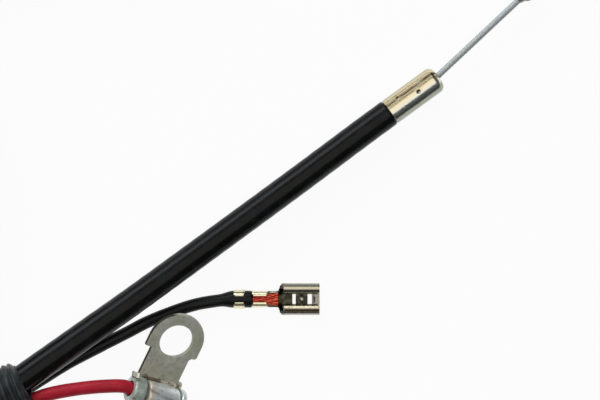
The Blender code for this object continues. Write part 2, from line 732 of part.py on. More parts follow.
def make_engine_end():
    direction = (FERRULE_MOUTH - JACKET_END).normalized()
    make_conduit("engine", through_binding(CONDUIT_IN_BINDING, GAP) + CONDUIT_ROUTE, JACKET_END, direction)
    make_ferrule("engine_ferrule", JACKET_END, direction)
    make_exposed_wire("engine_inner_wire", WIRE_START, ENGINE_NIPPLE)
    make_nipple("engine_nipple", ENGINE_NIPPLE, (ENGINE_NIPPLE - WIRE_START).normalized())
    grip = RECEPTACLE_PLACE + Vector((SLEEVE_GRIP_START, 0.0, SLEEVE_GRIP_RADIUS))
    wire_end = RECEPTACLE_PLACE + Vector((WIRE_GRIP_START - GAP / 2, 0.0, SLEEVE_GRIP_RADIUS))
    route = through_binding(STOP_WIRE_IN_BINDING, GAP) + STOP_WIRE_ROUTE + [tuple(grip), tuple(wire_end)]
    route = smooth_route(route, WIRE_SPACING * STOP_WIRE_RADIUS)
    tube("stop_wire", route, STOP_WIRE_RADIUS, "black_wire", WIRE_RESOLUTION)
    make_strands("stop_wire_strands", RECEPTACLE_PLACE)
    make_receptacle("stop_receptacle", RECEPTACLE_PLACE)
    here, barrel_height = make_eyelet()
    route = through_binding(EARTH_WIRE_IN_BINDING, GAP) + EARTH_WIRE_ROUTE + barrel_entry(here, barrel_height)
    route = smooth_route(route, EARTH_WIRE_SPACING * EARTH_WIRE_RADIUS)
    tube("earth_wire", route, EARTH_WIRE_RADIUS, "red_wire", WIRE_RESOLUTION)


def make_strands(name, place):
    """Bare strands through the wire grip, from the end of the insulation to the receptacle's neck."""
    start = place + Vector((WIRE_GRIP_START + GAP / 2, 0.0, WIRE_GRIP_RADIUS))
    end = place + Vector((-GAP, 0.0, SHEET + STOP_STRANDS_RADIUS + GAP / 2))
    middle = place + Vector((WIRE_GRIP_START + WIRE_GRIP_LENGTH, 0.0, WIRE_GRIP_RADIUS))
    tube(name, [start, middle, end], STOP_STRANDS_RADIUS, "copper", WIRE_RESOLUTION)


def make_trigger_end():
    rear = TRIGGER_BINDING_REAR + GAP
    mouth = TRIGGER_BINDING_REAR + BINDING_LENGTH
    direction = Vector((1.0, 0.0, 0.0))
    lifted = BINDING_HEIGHT + TRIGGER_CONDUIT_LIFT
    route = [(rear, TRIGGER_BINDING_Y, lifted), (mouth, TRIGGER_BINDING_Y, lifted), *TRIGGER_CONDUIT_ROUTE]
    make_conduit("trigger", route, TRIGGER_JACKET_END, direction)
    make_ferrule("trigger_ferrule", TRIGGER_JACKET_END, direction)
    front = TRIGGER_JACKET_END + direction * FERRULE_LENGTH
    nipple = front + direction * TRIGGER_WIRE_LENGTH
    make_exposed_wire("trigger_inner_wire", front + direction * GAP / 2, nipple)
    make_nipple("trigger_nipple", nipple, direction)
    lowered = BINDING_HEIGHT - TRIGGER_WIRES_DROP
    for name, side, radius, material in (
        ("trigger_stop", -1.0, STOP_WIRE_RADIUS, "black_wire"),
        ("trigger_earth", 1.0, EARTH_WIRE_RADIUS, "red_wire"),
    ):
        inside = TRIGGER_BINDING_Y + side * TRIGGER_WIRES_ACROSS
        spread = TRIGGER_LANE - TRIGGER_WIRES_ACROSS
        place = Vector((TRIGGER_RECEPTACLE_X, TRIGGER_BINDING_Y + side * TRIGGER_LANE, 0.0))
        grip = place + Vector((SLEEVE_GRIP_START, 0.0, SLEEVE_GRIP_RADIUS))
        wire_end = place + Vector((WIRE_GRIP_START - GAP / 2, 0.0, SLEEVE_GRIP_RADIUS))
        route = [(rear, inside, lowered), ((rear + mouth) / 2, inside, lowered), (mouth, inside, lowered)]
        route += [(x, inside + side * spread * share, z) for x, share, z in TRIGGER_WIRE_STEPS]
        route += [tuple(grip), tuple(wire_end)]
        tube(f"{name}_wire", smooth_route(route, WIRE_SPACING * radius), radius, material, WIRE_RESOLUTION)
        make_strands(f"{name}_strands", place)
        make_receptacle(f"{name}_receptacle", place)


BINDING_REAR, REAR_ACROSS = binding_axis(BINDING_LENGTH)
LEAD_HEADING = Vector((-math.cos(BINDING_REAR_ANGLE), -math.sin(BINDING_REAR_ANGLE)))
COIL_CENTRE = BINDING_REAR + LEAD_HEADING * LEAD_LENGTH + REAR_ACROSS * COIL_RADIUS


def move_to_base_centre():
    """The scene's origin is the middle of the base, worked out from the pieces furthest out on each side."""
    reach = COIL_RADIUS + SLEEVE_RADIUS
    left = COIL_CENTRE[0] - reach - GAP - TIE_THICKNESS
    right = ENGINE_NIPPLE[0] + NIPPLE_RADIUS
    low = COIL_CENTRE[1] - reach
    high = TRIGGER_BINDING_Y + TRIGGER_LANE + RECEPTACLE_WIDTH / 2
    ORIGIN.location = Vector((-(left + right) / 2, -(low + high) / 2, 0.0)) * MM


make_engine_end()
make_bindings()
make_sleeves()
make_tie()
make_trigger_end()
move_to_base_centre()
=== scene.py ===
"""Throttle cable with its stop and earth wires, dressed for the photograph.

Pieces are modelled in millimetres round the middle of the photograph, as in the part's own layout.
settle() and tube_piece() move them onto the frame in metres.
"""
import math

import bmesh
import bpy
from mathutils import Matrix, Vector, noise


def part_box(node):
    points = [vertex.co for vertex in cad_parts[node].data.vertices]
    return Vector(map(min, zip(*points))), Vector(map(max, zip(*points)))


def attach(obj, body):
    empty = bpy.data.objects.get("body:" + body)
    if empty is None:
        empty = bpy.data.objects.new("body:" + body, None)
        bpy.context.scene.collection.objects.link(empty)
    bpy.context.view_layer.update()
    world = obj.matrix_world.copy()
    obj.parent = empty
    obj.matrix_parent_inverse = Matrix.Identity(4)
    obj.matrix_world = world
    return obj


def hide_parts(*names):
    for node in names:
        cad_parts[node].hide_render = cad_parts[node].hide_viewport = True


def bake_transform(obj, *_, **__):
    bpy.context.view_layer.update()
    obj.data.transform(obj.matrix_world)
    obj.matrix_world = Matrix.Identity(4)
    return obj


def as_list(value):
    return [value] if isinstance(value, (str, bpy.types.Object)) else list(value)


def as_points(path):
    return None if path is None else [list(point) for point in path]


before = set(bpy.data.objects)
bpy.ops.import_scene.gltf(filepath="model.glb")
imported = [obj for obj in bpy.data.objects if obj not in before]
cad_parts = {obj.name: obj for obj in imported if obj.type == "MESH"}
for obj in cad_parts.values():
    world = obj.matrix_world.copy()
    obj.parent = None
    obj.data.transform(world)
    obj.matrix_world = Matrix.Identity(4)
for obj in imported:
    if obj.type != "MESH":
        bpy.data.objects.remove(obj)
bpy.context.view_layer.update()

MM = 0.001
UP = Vector((0.0, 0.0, 1.0))
CABLE = "cable"

# Sizes of the part, in millimetres
JACKET_RADIUS = 2.6
INNER_WIRE_RADIUS = 0.58
FERRULE_RADIUS = 2.5
FERRULE_LENGTH = 11.1
FERRULE_BORE = 1.75
FERRULE_HOLE_RADIUS = 0.95
NIPPLE_RADIUS = 1.6
NIPPLE_LENGTH = 5.0
TRIGGER_WIRE_LENGTH = 28.0
STOP_WIRE_RADIUS = 1.15
EARTH_WIRE_RADIUS = 1.25
SHEET = 0.4
RECEPTACLE_BODY = 6.85
WIRE_GRIP_START = -5.5
WIRE_GRIP_LENGTH = 2.8
SLEEVE_GRIP_START = -8.95
WIRE_IN_GRIP_HEIGHT = 1.75
STRANDS_IN_GRIP_HEIGHT = 1.45
EYELET_SHEET = 0.8
EYELET_HOLE_RADIUS = 3.2
EYELET_HEAD_RADIUS = 5.4
SHOULDER_BELOW_HOLE = 2.45
SHANK_HALF_WIDTH = 4.1
BARREL_RADIUS = 2.65
BARREL_BORE_RADIUS = 1.5
BARREL_BELOW_HOLE = 11.0
BARREL_LEFT = -5.0
BARREL_RIGHT = 5.9
STRANDS_START = -2.3
BARREL_ENTRY_RUN = 1.5
BINDING_LENGTH = 12.6
BINDING_HEIGHT = 5.45
BINDING_RADIUS = 4.95
SLEEVE_RADIUS = 4.75
LEAD_LENGTH = 40.0
COIL_RADIUS = 50.0
TAIL_LENGTH = 66.7
TIE_WIDTH = 4.0
TIE_THICKNESS = 0.6
GAP = 0.3
JACKET_END_GAP = 0.05
SQUEEZED_WIRE_RADIUS = 1.57
TRIGGER_WIRE_OUT = 0.15

# Places of the part, in millimetres from the middle of the photograph
FERRULE_MOUTH = Vector((25.55, 22.71, 2.55))
JACKET_END = Vector((16.51, 16.13, 2.91))
WIRE_START = Vector((25.72, 23.16, 2.55))
ENGINE_NIPPLE = Vector((41.81, 38.27, 2.6))
RECEPTACLE_PLACE = Vector((-3.25, -18.27, 0.0))
BINDING_MOUTH = Vector((-51.3, -34.9))
BINDING_MOUTH_ANGLE = math.radians(25)
BINDING_REAR_ANGLE = math.radians(12)
EYELET_HOLE_CENTRE = Vector((-22.94, -25.63, 6.7))
EYELET_RISE_DIRECTION = math.radians(127.5)
EYELET_TILT = math.radians(32)
EYELET_TURN = math.radians(59.6)
TRIGGER_BINDING_Y = 51.64
TRIGGER_BINDING_REAR = -46.0
TRIGGER_JACKET_END = Vector((-1.0, 51.64, 2.55))
TRIGGER_LANE = 6.4
TRIGGER_RECEPTACLE_X = -6.0

# Routes of the cords, as in the part
CONDUIT_ROUTE = [
    (-47.6, -30.45, 5.5),
    (-39.0, -24.4, 5.2),
    (-29.43, -17.64, 4.8),
    (-14.67, -6.89, 4.2),
    (0.09, 3.95, 3.6),
    (11.16, 12.21, 3.1),
]
STOP_WIRE_ROUTE = [
    (-48.9, -33.9, 1.75),
    (-43.5, -30.5, 1.45),
    (-37.5, -27.3, 1.4),
    (-31.8, -24.4, 1.4),
    (-27.5, -22.2, 1.45),
    (-20.8, -19.7, 1.6),
    (-16.5, -18.75, 1.72),
]
EARTH_WIRE_ROUTE = [
    (-49.2, -36.7, 4.9),
    (-46.4, -35.75, 5.5),
    (-42.6, -34.95, 6.6),
    (-38.6, -34.4, 7.75),
    (-35.4, -34.15, 8.3),
]
TRIGGER_CONDUIT_ROUTE = [
    (-26.0, 51.64, 6.0),
    (-16.0, 51.64, 4.2),
    (-7.0, 51.64, 3.0),
]
TRIGGER_WIRE_STEPS = [
    (-30.0, 0.36, 2.6),
    (-26.0, 0.72, 2.2),
    (-22.0, 0.96, 1.9),
    (-19.0, 1.0, 1.75),
]
CONDUIT_IN_BINDING = ((1.62, 5.7), (1.25, 5.95), (1.3, 6.2))
STOP_WIRE_IN_BINDING = ((-0.4, 2.1), (-1.0, 2.3), (-1.6, 2.6))
EARTH_WIRE_IN_BINDING = ((-2.62, 4.5), (-2.8, 4.75), (-2.95, 5.1))
TRIGGER_CONDUIT_LIFT = 1.6
TRIGGER_WIRES_ACROSS = 1.75
TRIGGER_WIRES_DROP = 2.45

# The frame gives where the layout's middle lies: the stop receptacle's rear and its middle are known in both
receptacle_low, receptacle_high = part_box("stop_receptacle")
LAYOUT_MIDDLE = Vector(
    (
        receptacle_low.x - (RECEPTACLE_PLACE.x + SLEEVE_GRIP_START) * MM,
        (receptacle_low.y + receptacle_high.y) / 2 - RECEPTACLE_PLACE.y * MM,
        0.0,
    )
)
LAYOUT = Matrix.Translation(LAYOUT_MIDDLE) @ Matrix.Scale(MM, 4)

# Photograph: width of its view, and a long lens straight above it
VIEW_WIDTH = 0.1107
CAMERA_HEIGHT = 1.5
SENSOR_WIDTH = 36.0


def make_camera():
    camera = bpy.data.objects.new("camera", bpy.data.cameras.new("camera"))
    bpy.context.scene.collection.objects.link(camera)
    camera.data.sensor_width = SENSOR_WIDTH
    camera.data.lens = SENSOR_WIDTH * CAMERA_HEIGHT / VIEW_WIDTH
    camera.location = LAYOUT_MIDDLE + UP * CAMERA_HEIGHT
    bpy.context.scene.camera = camera


def real(point):
    """A point of the layout, in metres in the frame."""
    return LAYOUT @ Vector(point)


def smooth_step(share):
    share = min(max(share, 0.0), 1.0)
    return share * share * (3 - 2 * share)


def close_to(value, middle, width):
    """1 at the middle, falling off smoothly over this width on both sides."""
    return math.exp(-(((value - middle) / width) ** 2))


def within(value, middle, half, edge):
    """1 as far as half a width from the middle, then 0 after a soft edge."""
    return smooth_step((half + edge - abs(value - middle)) / edge)


def wavering(x, y=0.0, z=0.0):
    """Smooth noise from -1 to 1, the same each run."""
    return noise.noise(Vector((x, y, z)))


# Routes


def smooth_route(points, spacing):
    """Points an even spacing apart on a smooth curve through the route's own points."""
    points = [Vector(p) for p in points]
    padded = [points[0] * 2 - points[1], *points, points[-1] * 2 - points[-2]]
    fine = [points[0]]
    for i in range(1, len(padded) - 2):
        p0, p1, p2, p3 = padded[i - 1 : i + 3]
        steps = max(4, round((p2 - p1).length / spacing * 3))
        for k in range(1, steps + 1):
            t = k / steps
            slope = (p2 - p0) * t + (2 * p0 - 5 * p1 + 4 * p2 - p3) * t * t
            fine.append(p1 + 0.5 * (slope + (3 * p1 - p0 - 3 * p2 + p3) * t**3))
    return even_route(fine, spacing)


def even_route(fine, spacing):
    length = sum((b - a).length for a, b in zip(fine, fine[1:]))
    count = max(2, round(length / spacing))
    route = [fine[0]]
    walked = 0.0
    for a, b in zip(fine, fine[1:]):
        step = (b - a).length
        while len(route) < count and walked + step >= len(route) * length / count:
            share = (len(route) * length / count - walked) / step
            route.append(a.lerp(b, share))
        walked += step
    return [*route, fine[-1]]


def route_length(route):
    return sum((b - a).length for a, b in zip(route, route[1:]))


def binding_axis(back):
    """The middle of the engine binding, a way back from its mouth, and the direction across it."""
    turn = (BINDING_MOUTH_ANGLE - BINDING_REAR_ANGLE) / BINDING_LENGTH
    angle = BINDING_MOUTH_ANGLE - turn * back
    across_mouth = Vector((-math.sin(BINDING_MOUTH_ANGLE), math.cos(BINDING_MOUTH_ANGLE)))
    across = Vector((-math.sin(angle), math.cos(angle)))
    return BINDING_MOUTH + (across_mouth - across) / turn, across


def through_binding(offsets):
    """Route points from the rear of the engine binding to its mouth, for a piece at these offsets."""
    inside = BINDING_LENGTH - GAP
    points = []
    for back, (aside, height) in zip((0.0, inside / 2, inside), offsets):
        middle, across = binding_axis(back)
        points.append((*(middle + across * aside), height))
    return points[::-1]


BINDING_REAR, REAR_ACROSS = binding_axis(BINDING_LENGTH)
LEAD_HEADING = Vector((-math.cos(BINDING_REAR_ANGLE), -math.sin(BINDING_REAR_ANGLE)))
COIL_CENTRE = BINDING_REAR + LEAD_HEADING * LEAD_LENGTH + REAR_ACROSS * COIL_RADIUS
SLEEVE_HEIGHT = SLEEVE_RADIUS + GAP + TIE_THICKNESS
LAYER_RISE = 2 * SLEEVE_RADIUS + GAP
RAMP_START = math.radians(285)
RAMP_END = math.radians(340)
DESCENT_START = 15.0
DESCENT_END = 65.0


def sleeve_route():
    """Lead, one and a half turns and tail in one run, as the part's three sleeve pieces lie."""
    route = []
    lead_steps = 8
    for i in range(lead_steps):
        share = i / lead_steps
        height = BINDING_HEIGHT + (SLEEVE_HEIGHT - BINDING_HEIGHT) * smooth_step(share)
        route.append(Vector((*(BINDING_REAR + LEAD_HEADING * (GAP + (LEAD_LENGTH - GAP) * share)), height)))
    turned = 1.5 * 2 * math.pi + BINDING_REAR_ANGLE
    coil_steps = 96
    for i in range(coil_steps):
        share = i / coil_steps * turned
        angle = BINDING_REAR_ANGLE - math.pi / 2 - share
        height = SLEEVE_HEIGHT + LAYER_RISE * smooth_step((share - RAMP_START) / (RAMP_END - RAMP_START))
        x = COIL_CENTRE.x + COIL_RADIUS * math.cos(angle)
        y = COIL_CENTRE.y + COIL_RADIUS * math.sin(angle)
        route.append(Vector((x, y, height)))
    tail_steps = 24
    drop = SLEEVE_HEIGHT + LAYER_RISE - BINDING_HEIGHT
    for i in range(tail_steps + 1):
        run = (TAIL_LENGTH - GAP) * i / tail_steps
        fallen = smooth_step((run - DESCENT_START) / (DESCENT_END - DESCENT_START))
        height = SLEEVE_HEIGHT + LAYER_RISE - drop * fallen
        route.append(Vector((COIL_CENTRE.x + run, COIL_CENTRE.y + COIL_RADIUS, height)))
    return route


# Tubes in mesh code


def ring_places(route, edge):
    """The route with a few more points close to each end, where a tube's edge is rounded."""
    shares = (0.15, 0.5, 1.0)
    start, after = route[0], route[1]
    end, before = route[-1], route[-2]
    first = [start.lerp(after, edge * share / (after - start).length) for share in shares]
    last = [end.lerp(before, edge * share / (end - before).length) for share in reversed(shares)]
    return [start, *first, *route[1:-1], *last, end]


def add_tube(shape, layer, route, sides, radius):
    """Adds a closed tube. radius gives it for a way along the route and an angle round it from its top."""
    rings = []
    ways = []
    way = 0.0
    for i, point in enumerate(route):
        along = (route[min(i + 1, len(route) - 1)] - route[max(i - 1, 0)]).normalized()
        side = along.cross(UP).normalized()
        top = side.cross(along)
        if i:
            way += (point - route[i - 1]).length
        ring = []
        for k in range(sides):
            angle = 2 * math.pi * k / sides
            out = top * math.cos(angle) + side * math.sin(angle)
            ring.append(shape.verts.new(point + out * radius(way, angle)))
        rings.append(ring)
        ways.append(way)
    for i in range(len(rings) - 1):
        for k in range(sides):
            after = (k + 1) % sides
            corners = (rings[i][k], rings[i][after], rings[i + 1][after], rings[i + 1][k])
            face = shape.faces.new(corners)
            face.smooth = True
            places = ((i, k), (i, k + 1), (i + 1, k + 1), (i + 1, k))
            for loop, (ring, around) in zip(face.loops, places):
                loop[layer].uv = (ways[ring], around / sides)
    for ring in (rings[0][::-1], rings[-1]):
        middle = shape.verts.new(sum((v.co for v in ring), Vector()) / sides)
        for k in range(sides):
            shape.faces.new((ring[k], ring[(k + 1) % sides], middle))


def tube_piece(name, tubes):
    """A piece of one or more tubes, each given as its route, its number of sides and its radius."""
    mesh = bpy.data.meshes.new(name)
    shape = bmesh.new()
    layer = shape.loops.layers.uv.new("run")
    for route, sides, radius in tubes:
        add_tube(shape, layer, route, sides, radius)
    shape.to_mesh(mesh)
    shape.free()
    piece = bpy.data.objects.new(name, mesh)
    bpy.context.scene.collection.objects.link(piece)
    mesh.transform(LAYOUT)
    return piece


def rounded_end(way, length, edge):
    """How much less the radius is this close to either end."""
    near = min(way, length - way)
    if near >= edge:
        return 0.0
    return edge - math.sqrt(max(edge * edge - (edge - near) ** 2, 0.0))


# Modelling as by hand


def deselect_all():
    if bpy.context.mode != "OBJECT":
        bpy.ops.object.mode_set(mode="OBJECT")
    bpy.ops.object.select_all(action="DESELECT")


def take(*pieces):
    """Selects these pieces alone, the last one active."""
    deselect_all()
    for piece in pieces:
        piece.select_set(True)
    bpy.context.view_layer.objects.active = pieces[-1]


def newest(name):
    """The primitive just added, with its name, in edit mode."""
    piece = bpy.context.object
    piece.name = name
    piece.data.name = name
    if bpy.context.mode != "EDIT_MESH":
        bpy.ops.object.mode_set(mode="EDIT")
    return piece


def pick(kind, test):
    """Selects the faces, edges or points of the open mesh whose middle passes the test."""
    bpy.ops.mesh.select_mode(type=kind)
    bpy.ops.mesh.select_all(action="DESELECT")
    mesh = bpy.context.edit_object.data
    shape = bmesh.from_edit_mesh(mesh)
    if kind == "VERT":
        for vert in shape.verts:
            vert.select_set(bool(test(vert.co)))
    elif kind == "EDGE":
        for edge in shape.edges:
            edge.select_set(bool(test((edge.verts[0].co + edge.verts[1].co) / 2, edge)))
    else:
        for face in shape.faces:
            face.select_set(bool(test(face.calc_center_median(), face.normal)))
    shape.select_flush_mode()
    bmesh.update_edit_mesh(mesh)


def close_mesh():
    """Merges doubles, turns the faces outwards and leaves edit mode."""
    bpy.ops.mesh.select_all(action="SELECT")
    bpy.ops.mesh.remove_doubles(threshold=0.0005)
    bpy.ops.mesh.normals_make_consistent(inside=False)
    bpy.ops.object.mode_set(mode="OBJECT")


def shift_points(piece, moved):
    """Moves each point of a mesh to where moved() says."""
    for vert in piece.data.vertices:
        vert.co = moved(vert.co.copy())
    piece.data.update()


def write_on(piece, name, value):
    """Writes a value from 0 to 1 on each point of a mesh, for its material to read."""
    layer = piece.data.attributes.new(name, "FLOAT", "POINT")
    for vert, item in zip(piece.data.vertices, layer.data):
        item.value = min(max(value(vert.co), 0.0), 1.0)


def apply_modifier(piece, kind, **settings):
    take(piece)
    modifier = piece.modifiers.new(kind.lower(), kind)
    for name, value in settings.items():
        setattr(modifier, name, value)
    bpy.ops.object.modifier_apply(modifier=modifier.name)


def round_edges(piece, width, segments, angle=50):
    """Bevels the edges of a piece that turn by more than an angle in degrees."""
    limit = math.radians(angle)
    apply_modifier(piece, "BEVEL", width=width, segments=segments, limit_method="ANGLE", angle_limit=limit)


def settle(piece, place, smooth_angle=40.0):
    """Moves a finished piece from its own millimetres to its place in the frame."""
    take(piece)
    bpy.ops.object.shade_smooth_by_angle(angle=math.radians(smooth_angle))
    piece.matrix_world = LAYOUT @ place
    bpy.ops.object.transform_apply(location=True, rotation=True, scale=True)


def fit(piece, material, slot, body, *nodes):
    """Gives a piece its finish, the body it rides on and the solids it stands for. Its slot argument is not
    used.
    """
    piece.data.materials.clear()
    piece.data.materials.append(material)
    if body:
        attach(piece, body)
    if nodes:
        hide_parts(*nodes)
    return piece


def turned(name, profile, segments):
    """A turned piece round Z: a ring is drawn and extruded from point to point of a closed profile."""
    deselect_all()
    radius, height = profile[0]
    bpy.ops.mesh.primitive_circle_add(
        vertices=segments, radius=radius, fill_type="NOTHING", location=(0, 0, height)
    )
    piece = newest(name)
    for (r0, h0), (r1, h1) in zip(profile, [*profile[1:], profile[0]]):
        bpy.ops.mesh.extrude_edges_move(TRANSFORM_OT_translate={"value": (0, 0, h1 - h0)})
        bpy.ops.transform.resize(value=(r1 / r0, r1 / r0, 1.0))
    close_mesh()
    bpy.ops.object.transform_apply(location=True, rotation=False, scale=False)
    return piece


def arc(centre, radii, start, end, steps):
    """Points on an arc or ellipse, both ends included, angles in degrees."""
    points = []
    for i in range(steps + 1):
        angle = math.radians(start + (end - start) * i / steps)
        points.append((centre[0] + radii[0] * math.cos(angle), centre[1] + radii[1] * math.sin(angle)))
    return points


def pointing(point, direction):
    """A matrix that moves to a point and turns local Z along a direction."""
    turn = Vector(direction).to_track_quat("Z", "Y").to_matrix().to_4x4()
    return Matrix.Translation(Vector(point)) @ turn


# Materials


class Finish:
    """A material and the nodes it is built from."""

    def __init__(self, name, metallic=0.0, specular=0.5):
        self.material = bpy.data.materials.new(name)
        self.material.use_nodes = True
        self.tree = self.material.node_tree
        self.shader = self.tree.nodes["Principled BSDF"]
        self.shader.inputs["Metallic"].default_value = metallic
        self.shader.inputs["Specular IOR Level"].default_value = specular
        coordinates = self.tree.nodes.new("ShaderNodeTexCoord")
        self.object_place = coordinates.outputs["Object"]

    def link(self, out, into):
        self.tree.links.new(out, into)

    def mapped(self, scale, turn=(0.0, 0.0, 0.0)):
        """Coordinates turned and stretched for a pattern with a direction."""
        node = self.tree.nodes.new("ShaderNodeMapping")
        node.inputs["Scale"].default_value = scale
        node.inputs["Rotation"].default_value = turn
        self.link(self.object_place, node.inputs["Vector"])
        return node.outputs["Vector"]

    def grain(self, scale, detail=3.0, roughness=0.5, place=None, distortion=0.0):
        node = self.tree.nodes.new("ShaderNodeTexNoise")
        node.inputs["Scale"].default_value = scale
        node.inputs["Detail"].default_value = detail
        node.inputs["Roughness"].default_value = roughness
        node.inputs["Distortion"].default_value = distortion
        self.link(place or self.object_place, node.inputs["Vector"])
        return node.outputs["Fac"]

    def ramp(self, value, *stops):
        """Colours or grey values at their places on a ramp."""
        node = self.tree.nodes.new("ShaderNodeValToRGB")
        ramp = node.color_ramp
        while len(ramp.elements) < len(stops):
            ramp.elements.new(0.5)
        for element, (position, colour) in zip(ramp.elements, stops):
            element.position = position
            grey = isinstance(colour, (int, float))
            element.color = (colour, colour, colour, 1.0) if grey else (*colour, 1.0)
        self.link(value, node.inputs["Fac"])
        return node.outputs["Color"]

    def blend(self, share, first, second):
        node = self.tree.nodes.new("ShaderNodeMix")
        node.data_type = "RGBA"
        for socket, value in ((node.inputs[0], share), (node.inputs[6], first), (node.inputs[7], second)):
            if isinstance(value, bpy.types.NodeSocket):
                self.link(value, socket)
            elif isinstance(value, tuple):
                socket.default_value = (*value, 1.0)
            else:
                socket.default_value = value
        return node.outputs[2]

    def sum(self, first, second, share=1.0):
        """One height plus a share of another."""
        node = self.tree.nodes.new("ShaderNodeMath")
        node.operation = "MULTIPLY_ADD"
        self.link(second, node.inputs[0])
        node.inputs[1].default_value = share
        self.link(first, node.inputs[2])
        return node.outputs[0]

    def drawn_on(self, name):
        """A value from 0 to 1 that was written on the mesh's points."""
        node = self.tree.nodes.new("ShaderNodeAttribute")
        node.attribute_name = name
        return node.outputs["Fac"]

    def colour(self, value):
        self.link(value, self.shader.inputs["Base Color"])

    def roughness(self, value):
        self.link(value, self.shader.inputs["Roughness"])

    def bump(self, height, distance):
        """Relief of this height in millimetres, from black to white."""
        node = self.tree.nodes.new("ShaderNodeBump")
        node.inputs["Strength"].default_value = 1.0
        node.inputs["Distance"].default_value = distance * MM
        self.link(height, node.inputs["Height"])
        self.link(node.outputs["Normal"], self.shader.inputs["Normal"])


def vinyl(name, dark, light, gloss, specular, grain_depth=0.012):
    """Extruded soft vinyl: cloudy colour, a fine extruder grain, and scuffs that are duller than the rest."""
    finish = Finish(name, specular=specular)
    cloud = finish.grain(260.0, 4.0)
    scuff = finish.grain(900.0, 5.0, 0.65)
    finish.colour(finish.ramp(finish.sum(cloud, scuff, 0.3), (0.4, dark), (0.85, light)))
    finish.roughness(finish.ramp(scuff, (0.35, gloss), (0.7, gloss + 0.2)))
    drawn = finish.grain(1400.0, 2.0, place=finish.mapped(scale=(0.12, 1.0, 1.0)))
    finish.bump(finish.sum(finish.grain(4200.0, 2.0), drawn, 0.6), grain_depth)
    return finish.material


def conduit_vinyl():
    """The jacket: near black, with a faint blue bloom where it was handled."""
    finish = Finish("conduit_vinyl", specular=0.17)
    cloud = finish.grain(210.0, 4.0)
    bloom = finish.grain(520.0, 5.0, 0.6, distortion=0.4)
    base = finish.ramp(cloud, (0.3, (0.003, 0.003, 0.0028)), (0.75, (0.0055, 0.0058, 0.006)))
    shine = finish.ramp(bloom, (0.5, 0.0), (0.78, 1.0))
    finish.colour(finish.blend(shine, base, (0.009, 0.013, 0.015)))
    finish.roughness(finish.ramp(bloom, (0.3, 0.18), (0.75, 0.3)))
    finish.bump(finish.sum(finish.grain(3200.0, 3.0), finish.grain(420.0, 2.0), 1.5), 0.008)
    return finish.material


def plated_brass(name, gloss, base, marks, turn=(0.0, 0.0, 0.0), stain=(0.36, 0.27, 0.15)):
    """Bright plating over brass: drawn lines, warm stains, dark pits, and the painted highlights, reflections
    and shade written on the piece as marks.
    """
    finish = Finish(name, metallic=1.0)
    lines = finish.grain(2600.0, 3.0, 0.6, place=finish.mapped(scale=(0.05, 1.0, 1.0), turn=turn))
    clouds = finish.grain(330.0, 5.0, 0.6)
    pits = finish.grain(2300.0, 2.0, 0.5)
    pale = tuple(min(1.0, channel * 1.08) for channel in base)
    body = finish.ramp(clouds, (0.3, base), (0.6, pale))
    stained = finish.blend(finish.ramp(clouds, (0.56, 0.0), (0.74, 0.55)), body, stain)
    pitted = finish.blend(finish.ramp(pits, (0.7, 0.0), (0.76, 0.8)), stained, (0.09, 0.07, 0.05))
    # Each mark is painted light: a highlight, reflection or shade written on the piece's points.
    for mark, mark_colour in marks:
        pitted = finish.blend(finish.drawn_on(mark), pitted, mark_colour)
    finish.colour(pitted)
    finish.roughness(finish.ramp(lines, (0.3, gloss), (0.75, gloss + 0.16)))
    finish.bump(finish.sum(lines, pits, -0.8), 0.006)
    return finish.material


def drawn_steel():
    """Bare galvanised strands: cool pale grey, a little dull."""
    finish = Finish("drawn_steel", metallic=0.8)
    cloud = finish.grain(1500.0, 3.0)
    finish.colour(finish.ramp(cloud, (0.3, (0.52, 0.55, 0.55)), (0.7, (0.59, 0.62, 0.62))))
    finish.roughness(finish.ramp(finish.grain(3500.0), (0.3, 0.6), (0.7, 0.75)))
    finish.bump(finish.grain(9000.0, 2.0), 0.004)
    return finish.material


def cast_zinc():
    finish = Finish("cast_zinc", metallic=1.0)
    cloud = finish.grain(900.0, 5.0, 0.65)
    finish.colour(finish.ramp(cloud, (0.3, (0.3, 0.3, 0.305)), (0.7, (0.47, 0.47, 0.475))))
    finish.roughness(finish.ramp(cloud, (0.3, 0.4), (0.7, 0.58)))
    finish.bump(finish.grain(5200.0, 4.0, 0.6), 0.02)
    return finish.material


def bare_copper():
    finish = Finish("bare_copper", metallic=1.0)
    cloud = finish.grain(1600.0, 4.0, 0.6)
    finish.colour(
        finish.ramp(cloud, (0.3, (0.36, 0.04, 0.025)), (0.5, (0.74, 0.1, 0.06)), (0.72, (0.92, 0.26, 0.14)))
    )
    finish.roughness(finish.ramp(cloud, (0.3, 0.3), (0.7, 0.5)))
    finish.bump(finish.grain(7000.0, 2.0), 0.004)
    return finish.material


def tinned_steel():
    """The ring terminal: matte tin gone olive grey, darker along its left edges, browned by the soldering."""
    finish = Finish("tinned_steel", metallic=0.4, specular=0.4)
    clouds = finish.grain(240.0, 5.0, 0.6, distortion=0.3)
    specks = finish.grain(1300.0, 5.0, 0.65)
    base = finish.ramp(
        clouds, (0.35, (0.56, 0.58, 0.45)), (0.52, (0.66, 0.655, 0.58)), (0.7, (0.78, 0.73, 0.63))
    )
    specked = finish.blend(finish.ramp(specks, (0.36, 0.45), (0.52, 0.0)), base, (0.36, 0.355, 0.27))
    stained = finish.blend(finish.drawn_on("soldering"), specked, (0.36, 0.36, 0.19))
    finish.colour(finish.blend(finish.drawn_on("dark_left_edge"), stained, (0.05, 0.045, 0.035)))
    finish.roughness(finish.ramp(specks, (0.3, 0.46), (0.7, 0.62)))
    finish.bump(finish.sum(specks, clouds, 2.0), 0.014)
    return finish.material


